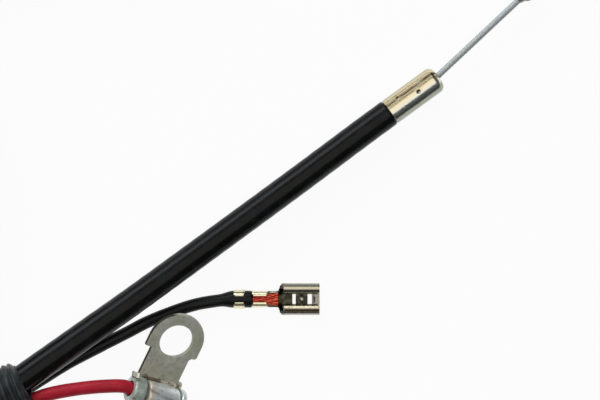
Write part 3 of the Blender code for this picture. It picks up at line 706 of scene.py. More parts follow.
def soldered_tin():
    """The terminal's barrel: dull olive grip, brighter conductor crimp with a painted cream highlight on its
    left, its seam browned by flux, and painted shade in the grooves at either end of the crimp.
    """
    finish = Finish("soldered_tin", metallic=0.5)
    clouds = finish.grain(420.0, 5.0, 0.6, distortion=0.4)
    streaks = finish.grain(900.0, 5.0, 0.7, distortion=0.8)
    dull = finish.ramp(clouds, (0.36, (0.46, 0.52, 0.45)), (0.62, (0.68, 0.76, 0.7)))
    bright = finish.ramp(clouds, (0.34, (0.8, 0.87, 0.88)), (0.6, (0.94, 0.98, 0.98)))
    tinned = finish.blend(finish.drawn_on("bright"), dull, bright)
    # painted highlight: cream on the left end of the conductor crimp and on the tab
    with_painted_highlight = finish.blend(finish.drawn_on("warm"), tinned, (0.96, 0.86, 0.7))
    painted_shade_lines = finish.blend(finish.ramp(streaks, (0.58, 0.0), (0.68, 0.8)), with_painted_highlight, (0.2, 0.14, 0.08))
    # flux on the seam, and painted shade in the grooves at either end of the crimp
    finish.colour(finish.blend(finish.drawn_on("flux_and_shade"), painted_shade_lines, (0.09, 0.055, 0.035)))
    finish.roughness(finish.ramp(clouds, (0.35, 0.5), (0.62, 0.3)))
    finish.bump(finish.sum(finish.grain(2600.0, 4.0), clouds, 1.4), 0.02)
    return finish.material


def solder_crust():
    finish = Finish("solder_crust", metallic=0.4)
    clouds = finish.grain(1000.0, 5.0, 0.7, distortion=0.6)
    crust = finish.ramp(
        clouds, (0.36, (0.05, 0.03, 0.018)), (0.44, (0.4, 0.35, 0.24)), (0.52, (0.86, 0.82, 0.68))
    )
    finish.colour(finish.blend(finish.drawn_on("flux_and_shade"), crust, (0.12, 0.085, 0.055)))
    finish.roughness(finish.ramp(clouds, (0.35, 0.62), (0.65, 0.32)))
    finish.bump(finish.grain(3800.0, 4.0, 0.65), 0.05)
    return finish.material


def binding_tape():
    """Stretched vinyl tape: black with a soft blue-grey sheen and creases along its turns."""
    finish = Finish("binding_tape", specular=0.4)
    clouds = finish.grain(420.0, 4.0, 0.6)
    creases = finish.grain(1500.0, 4.0, 0.6, distortion=0.9)
    finish.colour(finish.ramp(clouds, (0.35, (0.006, 0.0075, 0.008)), (0.72, (0.022, 0.03, 0.034))))
    finish.roughness(finish.ramp(creases, (0.35, 0.3), (0.7, 0.5)))
    finish.bump(finish.sum(finish.grain(5200.0), creases, 1.8), 0.045)
    return finish.material


def moulded_nylon():
    finish = Finish("moulded_nylon", specular=0.45)
    clouds = finish.grain(500.0, 4.0)
    finish.colour(finish.ramp(clouds, (0.3, (0.011, 0.011, 0.011)), (0.7, (0.021, 0.021, 0.022))))
    finish.roughness(finish.ramp(finish.grain(2500.0, 4.0), (0.3, 0.38), (0.7, 0.52)))
    finish.bump(finish.grain(6500.0, 3.0), 0.01)
    return finish.material


def wound_armour():
    """The flat steel winding under the jacket, closed turns with a groove between them."""
    finish = Finish("wound_armour", metallic=1.0)
    turns = finish.tree.nodes.new("ShaderNodeTexWave")
    turns.inputs["Scale"].default_value = 320.0
    turns.inputs["Distortion"].default_value = 0.4
    finish.link(finish.object_place, turns.inputs["Vector"])
    height = turns.outputs["Fac"]
    finish.colour(finish.ramp(height, (0.05, (0.12, 0.11, 0.1)), (0.35, (0.42, 0.43, 0.44))))
    finish.roughness(finish.ramp(finish.grain(2500.0), (0.3, 0.3), (0.7, 0.45)))
    finish.bump(height, 0.08)
    return finish.material


def liner_plastic():
    finish = Finish("liner_plastic", specular=0.5)
    clouds = finish.grain(700.0, 3.0)
    finish.colour(finish.ramp(clouds, (0.3, (0.62, 0.61, 0.56)), (0.7, (0.74, 0.73, 0.68))))
    finish.roughness(finish.ramp(clouds, (0.3, 0.35), (0.7, 0.5)))
    finish.bump(finish.grain(3000.0), 0.008)
    return finish.material


def make_materials():
    direction = FERRULE_MOUTH - JACKET_END
    heading = math.atan2(direction.y, direction.x)
    return {
        "conduit": conduit_vinyl(),
        "stop_wire": vinyl("stop_wire_vinyl", (0.003, 0.003, 0.003), (0.008, 0.009, 0.01), 0.28, 0.2),
        "earth_wire": vinyl("earth_wire_vinyl", (0.41, 0.013, 0.029), (0.56, 0.023, 0.044), 0.3, 0.15),
        "sleeve": vinyl("sleeve_vinyl", (0.007, 0.0075, 0.008), (0.015, 0.016, 0.017), 0.4, 0.25, 0.03),
        "ferrule": plated_brass(
            "plated_ferrule",
            0.14,
            turn=(0.0, 0.0, -heading),
            base=(0.74, 0.74, 0.68),
            marks=(
                # painted highlight: a warm cream tint over the side facing the lamps
                ("painted_warm_side", (0.84, 0.72, 0.46)),
                # painted shade: the plating darkened to tan where the strip lamp's reflection falls
                ("painted_shade_band", (0.3, 0.25, 0.165)),
                # painted shade: greyer and darker on the side away from the lamps and on the far edge
                ("dull", (0.36, 0.38, 0.31)),
                # painted reflection and shade: a dark brown streak where a dark band would reflect, and dark
                # spots in the punch marks
                ("painted_dark_reflection", (0.05, 0.027, 0.011)),
            ),
        ),
        "terminal": plated_brass(
            "plated_terminal",
            0.18,
            base=(0.48, 0.46, 0.4),
            stain=(0.2, 0.15, 0.09),
            marks=(
                # painted highlight: cream on the crimps and along each roll
                ("painted_highlight", (1.0, 0.9, 0.62)),
                # painted highlight: a honey band along the lower roll
                ("painted_honey_highlight", (0.9, 0.78, 0.5)),
                # painted shade: darkened floor, neck, grip edge and one roll's outer side
                ("painted_shade", (0.035, 0.032, 0.021)),
                # painted shade: a dark line along the top of each roll
                ("painted_shade_line", (0.03, 0.019, 0.007)),
            ),
        ),
        "steel": drawn_steel(),
        "zinc": cast_zinc(),
        "copper": bare_copper(),
        "eyelet": tinned_steel(),
        "barrel": soldered_tin(),
        "solder": solder_crust(),
        "tape": binding_tape(),
        "nylon": moulded_nylon(),
        "armour": wound_armour(),
        "liner": liner_plastic(),
    }


# Cords

JACKET_TAPER = 0.1
HELIX_PITCH = 3.0
HELIX_RISE = 0.012
JACKET_SIDES = 48
JACKET_RING_SPACING = 0.45
JACKET_EDGE = 0.3
WIRE_SIDES = 32
WIRE_RING_SPACING = 0.5
WIRE_EDGE = 0.15
SQUEEZED_LENGTH = 6.0
SQUEEZE_RUN = 2.7
SLEEVE_SIDES = 44
SLEEVE_RING_SPACING = 1.6
SLEEVE_EDGE = 0.4
WIRE_KINDS = {
    "stop_wire": (STOP_WIRE_RADIUS, "black_wire"),
    "earth_wire": (EARTH_WIRE_RADIUS, "red_wire"),
}


def conduit_radius(length):
    """The jacket shows the armour's turns as a faint helix, and is a little thicker at the binding."""

    def radius(way, angle):
        helix = math.sin(2 * math.pi * way / HELIX_PITCH - angle)
        uneven = 0.012 * wavering(way * 0.35, math.cos(angle), math.sin(angle))
        taper = JACKET_TAPER * (0.5 - way / length)
        return JACKET_RADIUS + taper + HELIX_RISE * helix + uneven - rounded_end(way, length, JACKET_EDGE)

    return radius


def wire_radius(plain, length, flare):
    """A wire's insulation, swollen towards its end where the crimp squeezes it."""

    def radius(way, angle):
        swollen = flare * smooth_step((way - (length - SQUEEZED_LENGTH)) / SQUEEZE_RUN)
        under = max(0.0, -math.cos(angle)) ** 2
        uneven = 0.025 * wavering(way * 0.4, math.cos(angle) * 1.5, math.sin(angle) * 1.5)
        return plain + swollen * (1 - 0.9 * under) + uneven - rounded_end(way, length, WIRE_EDGE)

    return radius


def sleeve_radius(length):
    """The sleeve is a little uneven and rippled."""

    def radius(way, angle):
        uneven = 0.07 * wavering(way * 0.05, math.cos(angle), math.sin(angle))
        ripple = 0.03 * wavering(way * 0.5, 3 * math.cos(angle), 3 * math.sin(angle))
        return SLEEVE_RADIUS + uneven + ripple - rounded_end(way, length, SLEEVE_EDGE)

    return radius


def lay_cord(name, points, sides, spacing, edge, make_radius, material, dense=False):
    route = even_route(points, spacing) if dense else smooth_route(points, spacing)
    length = route_length(route)
    piece = tube_piece(name, [(ring_places(route, edge), sides, make_radius(length))])
    piece.data.materials.append(material)
    return piece, [tuple(real(p)) for p in route], length * MM


def lay_sleeve(materials):
    return lay_cord(
        "sleeve",
        sleeve_route(),
        SLEEVE_SIDES,
        SLEEVE_RING_SPACING,
        SLEEVE_EDGE,
        sleeve_radius,
        materials["sleeve"],
        dense=True,
    )


def lay_conduit(name, points, materials):
    finish = materials["conduit"]
    return lay_cord(
        name, points, JACKET_SIDES, JACKET_RING_SPACING, JACKET_EDGE, conduit_radius, finish
    )


def lay_wire(name, kind, points, materials, gripped=True):
    """A stop or earth wire, swollen at its end where a receptacle grips it."""
    plain, slot = WIRE_KINDS[kind]
    flare = SQUEEZED_WIRE_RADIUS - plain if gripped else 0.0

    def make_radius(length):
        return wire_radius(plain, length, flare)

    return lay_cord(
        name, points, WIRE_SIDES, WIRE_RING_SPACING, WIRE_EDGE, make_radius, materials[kind]
    )


def into_receptacle(place):
    """The last two points of a wire that a receptacle grips."""
    ends = (SLEEVE_GRIP_START, WIRE_GRIP_START - GAP / 2)
    return [place + Vector((x, 0.0, WIRE_IN_GRIP_HEIGHT)) for x in ends]


def lay_engine_cords(materials):
    direction = (FERRULE_MOUTH - JACKET_END).normalized()
    jacket_end = JACKET_END - direction * JACKET_END_GAP
    route = [*through_binding(CONDUIT_IN_BINDING), *CONDUIT_ROUTE, jacket_end]
    conduit = lay_conduit("engine_conduit", route, materials)
    route = [*through_binding(STOP_WIRE_IN_BINDING), *STOP_WIRE_ROUTE, *into_receptacle(RECEPTACLE_PLACE)]
    stop = lay_wire("stop_lead", "stop_wire", route, materials)
    here = eyelet_frame()
    entries = (BARREL_LEFT - BARREL_ENTRY_RUN, BARREL_LEFT, STRANDS_START - GAP)
    ends = [here @ Vector((x, -BARREL_BELOW_HOLE, BARREL_HEIGHT)) for x in entries]
    route = [*through_binding(EARTH_WIRE_IN_BINDING), *EARTH_WIRE_ROUTE, *ends]
    earth = lay_wire("earth_lead", "earth_wire", route, materials, gripped=False)
    return conduit, stop, earth


def lay_trigger_cords(materials):
    rear = TRIGGER_BINDING_REAR + GAP
    mouth = TRIGGER_BINDING_REAR + BINDING_LENGTH
    lifted = BINDING_HEIGHT + TRIGGER_CONDUIT_LIFT
    route = [(rear, TRIGGER_BINDING_Y, lifted), (mouth, TRIGGER_BINDING_Y, lifted), *TRIGGER_CONDUIT_ROUTE]
    route.append(TRIGGER_JACKET_END - Vector((JACKET_END_GAP, 0.0, 0.0)))
    cords = [lay_conduit("trigger_conduit", route, materials)]
    lowered = BINDING_HEIGHT - TRIGGER_WIRES_DROP
    spread = TRIGGER_LANE - TRIGGER_WIRES_ACROSS
    for side, wire in ((-1.0, "stop"), (1.0, "earth")):
        inside = TRIGGER_BINDING_Y + side * TRIGGER_WIRES_ACROSS
        route = [(x, inside, lowered) for x in (rear, (rear + mouth) / 2, mouth)]
        route += [(x, inside + side * spread * share, z) for x, share, z in TRIGGER_WIRE_STEPS]
        route += into_receptacle(trigger_receptacle_place(side))
        cords.append(lay_wire(f"trigger_{wire}_lead", f"{wire}_wire", route, materials))
    return cords


def trigger_receptacle_place(side):
    return Vector((TRIGGER_RECEPTACLE_X, TRIGGER_BINDING_Y + side * TRIGGER_LANE, 0.0))


# Pieces


BARREL_HEIGHT = BARREL_RADIUS - EYELET_SHEET


def eyelet_frame():
    """The ring terminal's own frame: X along its barrel, Y along its tongue, Z out of its top face."""
    rise = Matrix.Rotation(EYELET_RISE_DIRECTION - math.pi / 2, 4, "Z")
    tilt = Matrix.Rotation(EYELET_TILT, 4, "X")
    turn = Matrix.Rotation(-EYELET_TURN, 4, "Z")
    return Matrix.Translation(EYELET_HOLE_CENTRE) @ rise @ tilt @ turn


def pressed(centre, radius, depth):
    """Moves points near a centre inwards, for a punch mark on a piece turned round Z."""
    centre = Vector(centre)

    def moved(co):
        near = (co - centre).length / radius
        if near > 1.6:
            return co
        inwards = Vector((co.x, co.y, 0.0)).normalized()
        return co - inwards * depth * math.exp(-2.2 * near * near)

    return moved


FERRULE_PUNCH_HEIGHT = 6.55
FERRULE_MARK_HEIGHT = 2.7
FERRULE_MARK_ANGLE = math.radians(34)


def make_ferrule(name, rear, direction, material, node):
    """A turned and plated cap: rounded front, rolled rear lip and the two punch marks that hold it."""
    outer = arc((1.15, FERRULE_LENGTH - 1.25), (FERRULE_RADIUS - 1.15, 1.25), 90.0, 0.0, 8)
    wall = [(FERRULE_RADIUS, 9.6 - 0.17 * i) for i in range(55)]
    lip = arc((FERRULE_RADIUS - 0.16, 0.16), (0.16, 0.16), 0.0, -90.0, 3)
    bore = [(FERRULE_BORE, 0.0), (FERRULE_BORE, 9.5), (FERRULE_HOLE_RADIUS, 9.7)]
    mouth = [(FERRULE_HOLE_RADIUS, FERRULE_LENGTH - 0.2), (FERRULE_HOLE_RADIUS + 0.12, FERRULE_LENGTH - 0.03)]
    piece = turned(name, [*outer, *wall, *lip, *bore, *mouth], 96)
    place = pointing(rear, direction)
    to_local = place.to_3x3().inverted()
    top = (to_local @ UP).normalized()
    across = top.cross(UP)

    def aside_of_top(co):
        outwards = Vector((co.x, co.y, 0.0)).normalized()
        return outwards.dot(across)

    punch = top * FERRULE_RADIUS + Vector((0, 0, FERRULE_PUNCH_HEIGHT))
    aside = top * math.cos(FERRULE_MARK_ANGLE) + across * math.sin(FERRULE_MARK_ANGLE)
    mark = aside * FERRULE_RADIUS + Vector((0, 0, FERRULE_MARK_HEIGHT))

    # Painted reflection and shade: a dark streak along the side where a dark band would reflect, a fainter
    # one beside it, and dark spots as shade in the two punch marks.
    def dark_reflection_and_shade(co):
        if Vector((co.x, co.y, 0.0)).dot(top) <= 0:
            return 0.0
        share = aside_of_top(co) + 0.03 * wavering(co.z * 0.5)
        main = (1.0 + 0.5 * wavering(co.z * 0.6, 4.0)) * within(share, 0.49, 0.04, 0.06)
        faint = 0.4 * close_to(share, 0.2, 0.05)
        spots = max(close_to((co - punch).length, 0.0, 0.36), within((co - mark).length, 0.0, 0.25, 0.2))
        return max(main, faint, spots)

    # Painted shade: the plating is darkened to tan under the strip lamp's reflection and a little beyond it.
    def shade_under_highlight(co):
        share = aside_of_top(co)
        return max(within(share, 0.49, 0.11, 0.09), 0.2 * smooth_step((share - 0.55) / 0.08))

    # Painted shade: greyer and darker on the side away from the lamps and along the far edge.
    def shaded_sides(co):
        share = aside_of_top(co)
        return max(smooth_step((-0.4 - share) / 0.2), smooth_step((share - 0.89) / 0.07))

    # Painted highlight: the side facing the lamps is tinted warm cream.
    write_on(piece, "painted_warm_side", lambda co: smooth_step((aside_of_top(co) + 0.3) / 0.5))
    write_on(piece, "painted_shade_band", shade_under_highlight)
    write_on(piece, "dull", shaded_sides)
    write_on(piece, "painted_dark_reflection", dark_reflection_and_shade)
    shift_points(piece, pressed(punch, 0.36, 0.36))
    shift_points(piece, pressed(mark, 0.3, 0.05))
    settle(piece, place)
    return fit(piece, material, "ferrule", CABLE, node)


def make_nipple(name, centre, wire_direction, material, body, node):
    """A cast barrel on the wire's end: rounded rims, sunk gate marks and a collar round the wire."""
    deselect_all()
    bpy.ops.mesh.primitive_cylinder_add(vertices=64, radius=NIPPLE_RADIUS, depth=NIPPLE_LENGTH)
    piece = newest(name)
    half = NIPPLE_LENGTH / 2
    pick("EDGE", lambda middle, edge: abs(abs(middle.z) - half) < 0.01)
    bpy.ops.mesh.bevel(offset=0.22, segments=4, affect="EDGES")
    for side in (1.0, -1.0):
        pick("FACE", lambda middle, normal: normal.z * side > 0.99 and abs(middle.z - side * half) < 0.01)
        bpy.ops.mesh.inset(thickness=0.35)
        bpy.ops.mesh.inset(thickness=0.1)
        bpy.ops.transform.translate(value=(0, 0, -0.1 * side))
    close_mesh()
    shift_points(
        piece,
        lambda co: co + Vector((co.x, co.y, 0.0)) * 0.012 * wavering(co.x * 1.3, co.y * 1.3, co.z * 0.8),
    )
    deselect_all()
    bpy.ops.mesh.primitive_cone_add(
        vertices=40, radius1=1.0, radius2=INNER_WIRE_RADIUS + 0.1, depth=1.1, location=(0, 0, 0)
    )
    collar = newest(name + "_collar")
    pick("EDGE", lambda middle, edge: middle.z > 0.5)
    bpy.ops.mesh.bevel(offset=0.12, segments=3, affect="EDGES")
    close_mesh()
    back = -wire_direction
    collar.matrix_world = pointing(back * (NIPPLE_RADIUS + 0.1), back)
    take(collar)
    bpy.ops.object.transform_apply(location=True, rotation=True, scale=True)
    take(collar, piece)
    bpy.ops.object.join()
    settle(piece, Matrix.Translation(centre))
    return fit(piece, material, "nipple", body, node)


STRAND_COUNT = 12
STRAND_PITCH = 9.0
STRAND_RELIEF = 0.045


def make_bare_wire(name, front, direction, start, nipple_centre, material, body, node):
    """The inner wire from well inside the ferrule to its nipple, laid of twelve outer strands."""
    wire_direction = (nipple_centre - start).normalized()
    end = nipple_centre - wire_direction * 1.0
    inside = [front - direction * way for way in (10.4, 7.0, 3.5, 1.2)]
    route = smooth_route([*inside, start, start.lerp(end, 0.3), start.lerp(end, 0.65), end], 0.32)

    def radius(way, angle):
        lay = STRAND_COUNT * (angle - 2 * math.pi * way / STRAND_PITCH) / 2
        return INNER_WIRE_RADIUS - STRAND_RELIEF * (1 - abs(math.cos(lay)))

    piece = tube_piece(name, [(route, STRAND_COUNT * 6, radius)])
    fit(piece, material, "steel_wire", None, node)
    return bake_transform(piece, CABLE, body, real(inside[0]), real(end))


def make_cable_end(side, rear, front, start, centre, materials):
    """The ferrule, bare wire and nipple on the engine's or the trigger's side."""
    direction = (front - rear).normalized()
    wire_direction = (centre - start).normalized()
    steel = materials["steel"]
    body = f"{side}_wire_end"
    ferrule = make_ferrule(f"{side}_cap", rear, direction, materials["ferrule"], f"{side}_ferrule")
    make_bare_wire(f"{side}_bare_wire", front, direction, start, centre, steel, body, f"{side}_inner_wire")
    make_nipple(f"{side}_wire_barrel", centre, wire_direction, materials["zinc"], body, f"{side}_nipple")
    return ferrule


BODY_SECTION = ((1.95, None), (3.56, 0.8))
STEM_SECTION = ((0.35, None), (1.3, 1.1), (9.0, None))
WIRE_GRIP_SECTION = ((0.15, None), (2.513, 1.2), (0.9, 0.6))
SLEEVE_GRIP_SECTION = ((0.06, None), (3.927, 1.5), (0.6, 0.7))
SLEEVE_GRIP_FRONT = -6.95
WIRE_GRIP_REAR = -5.55
WIRE_GRIP_FRONT = -2.75
NECK_FRONT = -0.9
BODY_REAR = 0.05
RECEPTACLE_STATIONS = (
    (SLEEVE_GRIP_START, SLEEVE_GRIP_SECTION),
    (SLEEVE_GRIP_FRONT, SLEEVE_GRIP_SECTION),
    (-6.65, STEM_SECTION),
    (-5.75, STEM_SECTION),
    (WIRE_GRIP_REAR, WIRE_GRIP_SECTION),
    (WIRE_GRIP_FRONT, WIRE_GRIP_SECTION),
    (-2.45, STEM_SECTION),
    (NECK_FRONT, STEM_SECTION),
    (BODY_REAR, BODY_SECTION),
    (RECEPTACLE_BODY, BODY_SECTION),
)
BLANK_LENGTH = RECEPTACLE_BODY - SLEEVE_GRIP_START
BLANK_CELL = 0.2
BLANK_COLUMN = 0.225
BLANK_HALF_WIDTH = 5.4
SLEEVE_GRIP_HALF_WIDTH = 4.275
WIRE_GRIP_HALF_WIDTH = 3.375
NECK_HALF_WIDTH = 1.575
BLANK_WIDTHS = (
    (SLEEVE_GRIP_FRONT, SLEEVE_GRIP_HALF_WIDTH),
    (WIRE_GRIP_REAR, NECK_HALF_WIDTH),
    (WIRE_GRIP_FRONT, WIRE_GRIP_HALF_WIDTH),
    (NECK_FRONT, NECK_HALF_WIDTH),
)
FLOOR_SLOTS = ((1.85, 2.45), (4.65, 5.45))
SLOT_HALF_WIDTH = 0.9
DIMPLE_X = 3.6
DIMPLE_RADIUS = 0.42
DIMPLE_HEIGHT = 0.3
FLOOR_RIDGES = (0.77, 1.14, 5.85, 6.3)
RIDGE_WIDTH = 0.13
RIDGE_HEIGHT = 0.09
RIDGE_HALF_LENGTH = 1.15


def rolled(section, way):
    """Where a point this far from the blank's middle lies once the blank is bent to a section."""
    y = z = heading = 0.0
    left = abs(way)
    for length, radius in section:
        step = min(left, length)
        if radius is None:
            y += step * math.cos(heading)
            z += step * math.sin(heading)
        else:
            after = heading + step / radius
            y += radius * (math.sin(after) - math.sin(heading))
            z += radius * (math.cos(heading) - math.cos(after))
            heading = after
        left -= step
        if left <= 0:
            break
    return Vector((0.0, math.copysign(y, way), z))


def blank_half_width(x):
    for end, width in BLANK_WIDTHS:
        if x < end:
            return width
    flare = ((x - NECK_FRONT) / (BODY_REAR - NECK_FRONT)) ** 2 if x < BODY_REAR else 1.0
    return NECK_HALF_WIDTH + (BLANK_HALF_WIDTH - NECK_HALF_WIDTH) * flare


def cut_away(x, way):
    """Whether this spot of the flat blank is cut away when it is stamped."""
    if abs(way) > blank_half_width(x):
        return True
    if any(low < x < high for low, high in FLOOR_SLOTS) and abs(way) < SLOT_HALF_WIDTH:
        return True
    corners = (
        (SLEEVE_GRIP_START, SLEEVE_GRIP_FRONT, SLEEVE_GRIP_HALF_WIDTH),
        (WIRE_GRIP_REAR, WIRE_GRIP_FRONT, WIRE_GRIP_HALF_WIDTH),
    )
    for low, high, width in corners:
        from_end = min(x - low, high - x)
        if 0 < from_end < BLANK_CELL and abs(way) > width - BLANK_COLUMN:
            return True
    return False


def formed(co):
    """A point of the flat blank where the press puts it."""
    for (x0, first), (x1, second) in zip(RECEPTACLE_STATIONS, RECEPTACLE_STATIONS[1:]):
        if co.x <= x1 + 0.001:
            way = (co.x - x0) / (x1 - x0)
            share = way * way if second is BODY_SECTION else smooth_step(way)
            place = rolled(first, co.y).lerp(rolled(second, co.y), share)
            break
    place.x = co.x
    place.z += SHEET / 2
    if abs(co.y) < 1.2:
        place.z += DIMPLE_HEIGHT * close_to(math.hypot(co.x - DIMPLE_X, co.y), 0.0, DIMPLE_RADIUS)
        faded = smooth_step((RIDGE_HALF_LENGTH - abs(co.y)) / 0.3)
        for ridge in FLOOR_RIDGES:
            place.z += RIDGE_HEIGHT * close_to(co.x, ridge, RIDGE_WIDTH) * faded
    return place


def painted_shade_on_blank(co):
    """How much painted shade the blank has here: its floor, its neck, the edge of its sleeve grip and a band
    on the outer side of one roll are darkened.
    """
    floor = 1 - smooth_step((abs(co.y) - 1.8) / 0.7)
    front = smooth_step((co.x + 1.2) / 0.6)
    shade_eased_at_front = 1 - 0.6 * smooth_step((co.x - 5.5) / 0.2)
    shade_waver = 0.98 + 0.2 * wavering(co.x * 1.3, co.y * 1.3, 2.0)
    on_dimple = math.exp(-(((co.x - DIMPLE_X) ** 2 + co.y**2) / 0.15))
    neck = 0.95 * math.exp(-(((co.x + 0.5) / 0.75) ** 4))
    grip_edge = 0.45 * close_to(co.x, -6.6, 0.5)
    # Painted shade on the outer side of one roll, dimming the strip lamp's highlight there.
    roll = 0.9 * on_body(co) * close_to(co.y, 4.05, 0.22)
    return max(floor * front * shade_eased_at_front * shade_waver * (1 - on_dimple), neck, grip_edge, roll)


def on_body(co):
    return smooth_step((co.x - 0.1) / 0.3)


def painted_highlight_bands(co):
    """Painted highlight on the crimps, and one band along each roll."""
    crimps = 0.75 * (1 - smooth_step((co.x + 2.6) / 0.3))
    return max(crimps, on_body(co) * max(close_to(co.y, 4.31, 0.16), close_to(co.y, -5.14, 0.24)))


# Painted highlight: a honey band along the lower roll.
def painted_lower_highlight(co):
    return on_body(co) * close_to(co.y, -4.87, 0.16)


def painted_shade_lines(co):
    """Painted shade: a dark, brownish line along the top of each roll."""
    return on_body(co) * max(close_to(co.y, 4.76, 0.2), within(co.y, -4.43, 0.18, 0.12))


def make_receptacle_form():
    """The push-on receptacle: one flat blank, stamped out, rolled and given its sheet thickness."""
    cells_along = round(BLANK_LENGTH / BLANK_CELL)
    cells_across = round(2 * BLANK_HALF_WIDTH / BLANK_COLUMN)
    deselect_all()
    bpy.ops.mesh.primitive_grid_add(x_subdivisions=cells_along, y_subdivisions=cells_across, size=1.0)
    piece = newest("receptacle_form")
    bpy.ops.transform.resize(value=(BLANK_LENGTH, 2 * BLANK_HALF_WIDTH, 1.0))
    bpy.ops.transform.translate(value=((RECEPTACLE_BODY + SLEEVE_GRIP_START) / 2, 0, 0))
    pick("FACE", lambda middle, normal: cut_away(middle.x, middle.y))
    bpy.ops.mesh.delete(type="FACE")
    bpy.ops.object.mode_set(mode="OBJECT")
    write_on(piece, "painted_shade", painted_shade_on_blank)
    write_on(piece, "painted_highlight", painted_highlight_bands)
    write_on(piece, "painted_honey_highlight", painted_lower_highlight)
    write_on(piece, "painted_shade_line", painted_shade_lines)
    shift_points(piece, formed)
    apply_modifier(piece, "SOLIDIFY", thickness=SHEET, offset=0.0, use_even_offset=True)
    round_edges(piece, 0.05, 2)
    return piece


def copy_of(piece, name):
    copy = piece.copy()
    copy.data = piece.data.copy()
    copy.name = name
    copy.data.name = name
    bpy.context.scene.collection.objects.link(copy)
    return copy


def strand_tubes(start, end, spread, count, thickness, bundle, twist, seed):
    """Fine strands side by side, twisted, whose cut ends fan out a little."""
    tubes = []
    along = (end - start).normalized()
    side = along.cross(UP).normalized()
    top = side.cross(along)
    length = (end - start).length
    golden_angle = math.radians(137.5)
    steps = 12
    for i in range(count):
        out = bundle * math.sqrt((i + 0.5) / count)
        angle = i * golden_angle
        shorter = 0.35 * abs(wavering(i * 1.7, seed))
        route = []
        for k in range(steps + 1):
            way = (length - shorter) * k / steps
            turn = angle + twist * way
            fan = 1.0 + spread * smooth_step((way - 0.55 * length) / (0.45 * length))
            jitter = 0.05 * wavering(i * 3.1, way * 0.8, seed)
            offset = side * math.cos(turn) + top * math.sin(turn)
            route.append(start + along * way + offset * (out * fan + jitter))
        tubes.append((route, 6, lambda way, angle, thickness=thickness: thickness))
    return tubes


def make_stop_strands(name, place, material, node):
    start = place + Vector((WIRE_GRIP_START - 0.1, 0.0, STRANDS_IN_GRIP_HEIGHT))
    middle = place + Vector((WIRE_GRIP_START + WIRE_GRIP_LENGTH, 0.0, STRANDS_IN_GRIP_HEIGHT))
    end = place + Vector((-0.7, 0.0, SHEET + 1.0))
    tubes = strand_tubes(start, middle, 0.0, 26, 0.15, 0.88, 0.25, 1.0)
    tubes += strand_tubes(middle - Vector((0.3, 0, 0)), end, 0.18, 30, 0.16, 1.02, 0.25, 5.0)
    piece = tube_piece(name, tubes)
    return fit(piece, material, "copper", CABLE, node)


def make_receptacles(materials):
    form = make_receptacle_form()
    places = (
        ("stop", RECEPTACLE_PLACE, "stop_wire_strands"),
        ("trigger_stop", trigger_receptacle_place(-1.0), "trigger_stop_strands"),
        ("trigger_earth", trigger_receptacle_place(1.0), "trigger_earth_strands"),
    )
    made = {}
    for wire, place, strands_node in places:
        piece = copy_of(form, f"{wire}_terminal")
        settle(piece, Matrix.Translation(place))
        fit(piece, materials["terminal"], "tinned_brass", CABLE, f"{wire}_receptacle")
        strands = make_stop_strands(f"{wire}_terminal_strands", place, materials["copper"], strands_node)
        made[wire] = [piece, strands]
    bpy.data.objects.remove(form, do_unlink=True)
    return made


def eyelet_outline():
    """The lower half of the tongue's outline, from its left side round its shoulders to its right."""
    head, shank = EYELET_HEAD_RADIUS, SHANK_HALF_WIDTH
    corners = [
        (-head, 0.0),
        (-head, -SHOULDER_BELOW_HOLE),
        (-shank, -SHOULDER_BELOW_HOLE),
        (-shank, -BARREL_BELOW_HOLE),
        (shank, -BARREL_BELOW_HOLE),
        (shank, -SHOULDER_BELOW_HOLE - 0.5),
        (shank + 0.4, -SHOULDER_BELOW_HOLE),
        (head - 0.35, -SHOULDER_BELOW_HOLE),
        (head, -SHOULDER_BELOW_HOLE + 0.4),
        (head, 0.0),
    ]
    points = []
    for (x0, y0), (x1, y1), steps in zip(corners, corners[1:], (4, 2, 10, 16, 9, 1, 1, 1, 4)):
        points += [(x0 + (x1 - x0) * i / steps, y0 + (y1 - y0) * i / steps) for i in range(steps)]
    return points


def make_tongue(materials):
    """Flat tongue: its hole's ring is extruded out to the head's edge and down to the barrel."""
    deselect_all()
    bpy.ops.mesh.primitive_circle_add(vertices=96, radius=EYELET_HOLE_RADIUS, fill_type="NOTHING")
    piece = newest("earth_tongue")
    bpy.ops.mesh.extrude_edges_move()
    reach = EYELET_HEAD_RADIUS / EYELET_HOLE_RADIUS
    bpy.ops.transform.resize(value=(reach, reach, 1.0))
    bpy.ops.object.mode_set(mode="OBJECT")
    outline = eyelet_outline()

    def spread(co):
        angle = math.atan2(co.y, co.x) % (2 * math.pi)
        if co.length < EYELET_HOLE_RADIUS + 0.1 or angle < math.pi - 0.001:
            return co
        x, y = outline[round((angle - math.pi) / math.pi * len(outline)) % len(outline)]
        return Vector((x, y, 0.0))

    shift_points(piece, spread)
    apply_modifier(piece, "SOLIDIFY", thickness=EYELET_SHEET, offset=-1.0)
    round_edges(piece, 0.12, 3)
    take(piece)
    bpy.ops.object.mode_set(mode="EDIT")
    bpy.ops.mesh.select_all(action="SELECT")
    bpy.ops.mesh.subdivide(number_cuts=2)
    close_mesh()

    # Darker along the tongue's left edges.
    def at_left_edge(co):
        half = SHANK_HALF_WIDTH if co.y < -SHOULDER_BELOW_HOLE else EYELET_HEAD_RADIUS
        outside = -co.x > half - 0.04 or (co.y > 0 and co.x < 0 and co.length > EYELET_HEAD_RADIUS - 0.04)
        return smooth_step((-co.x - 1.5) / 1.5) if outside else 0.0

    def heated(co):
        near = smooth_step((-co.y - 4.6) / 3.2)
        return near * (0.42 + 0.75 * wavering(co.x * 0.55, co.y * 0.7, 3.0))

    write_on(piece, "dark_left_edge", at_left_edge)
    write_on(piece, "soldering", heated)
    settle(piece, eyelet_frame(), 30.0)
    return fit(piece, materials["eyelet"], "tinned_steel", CABLE, "earth_eyelet")


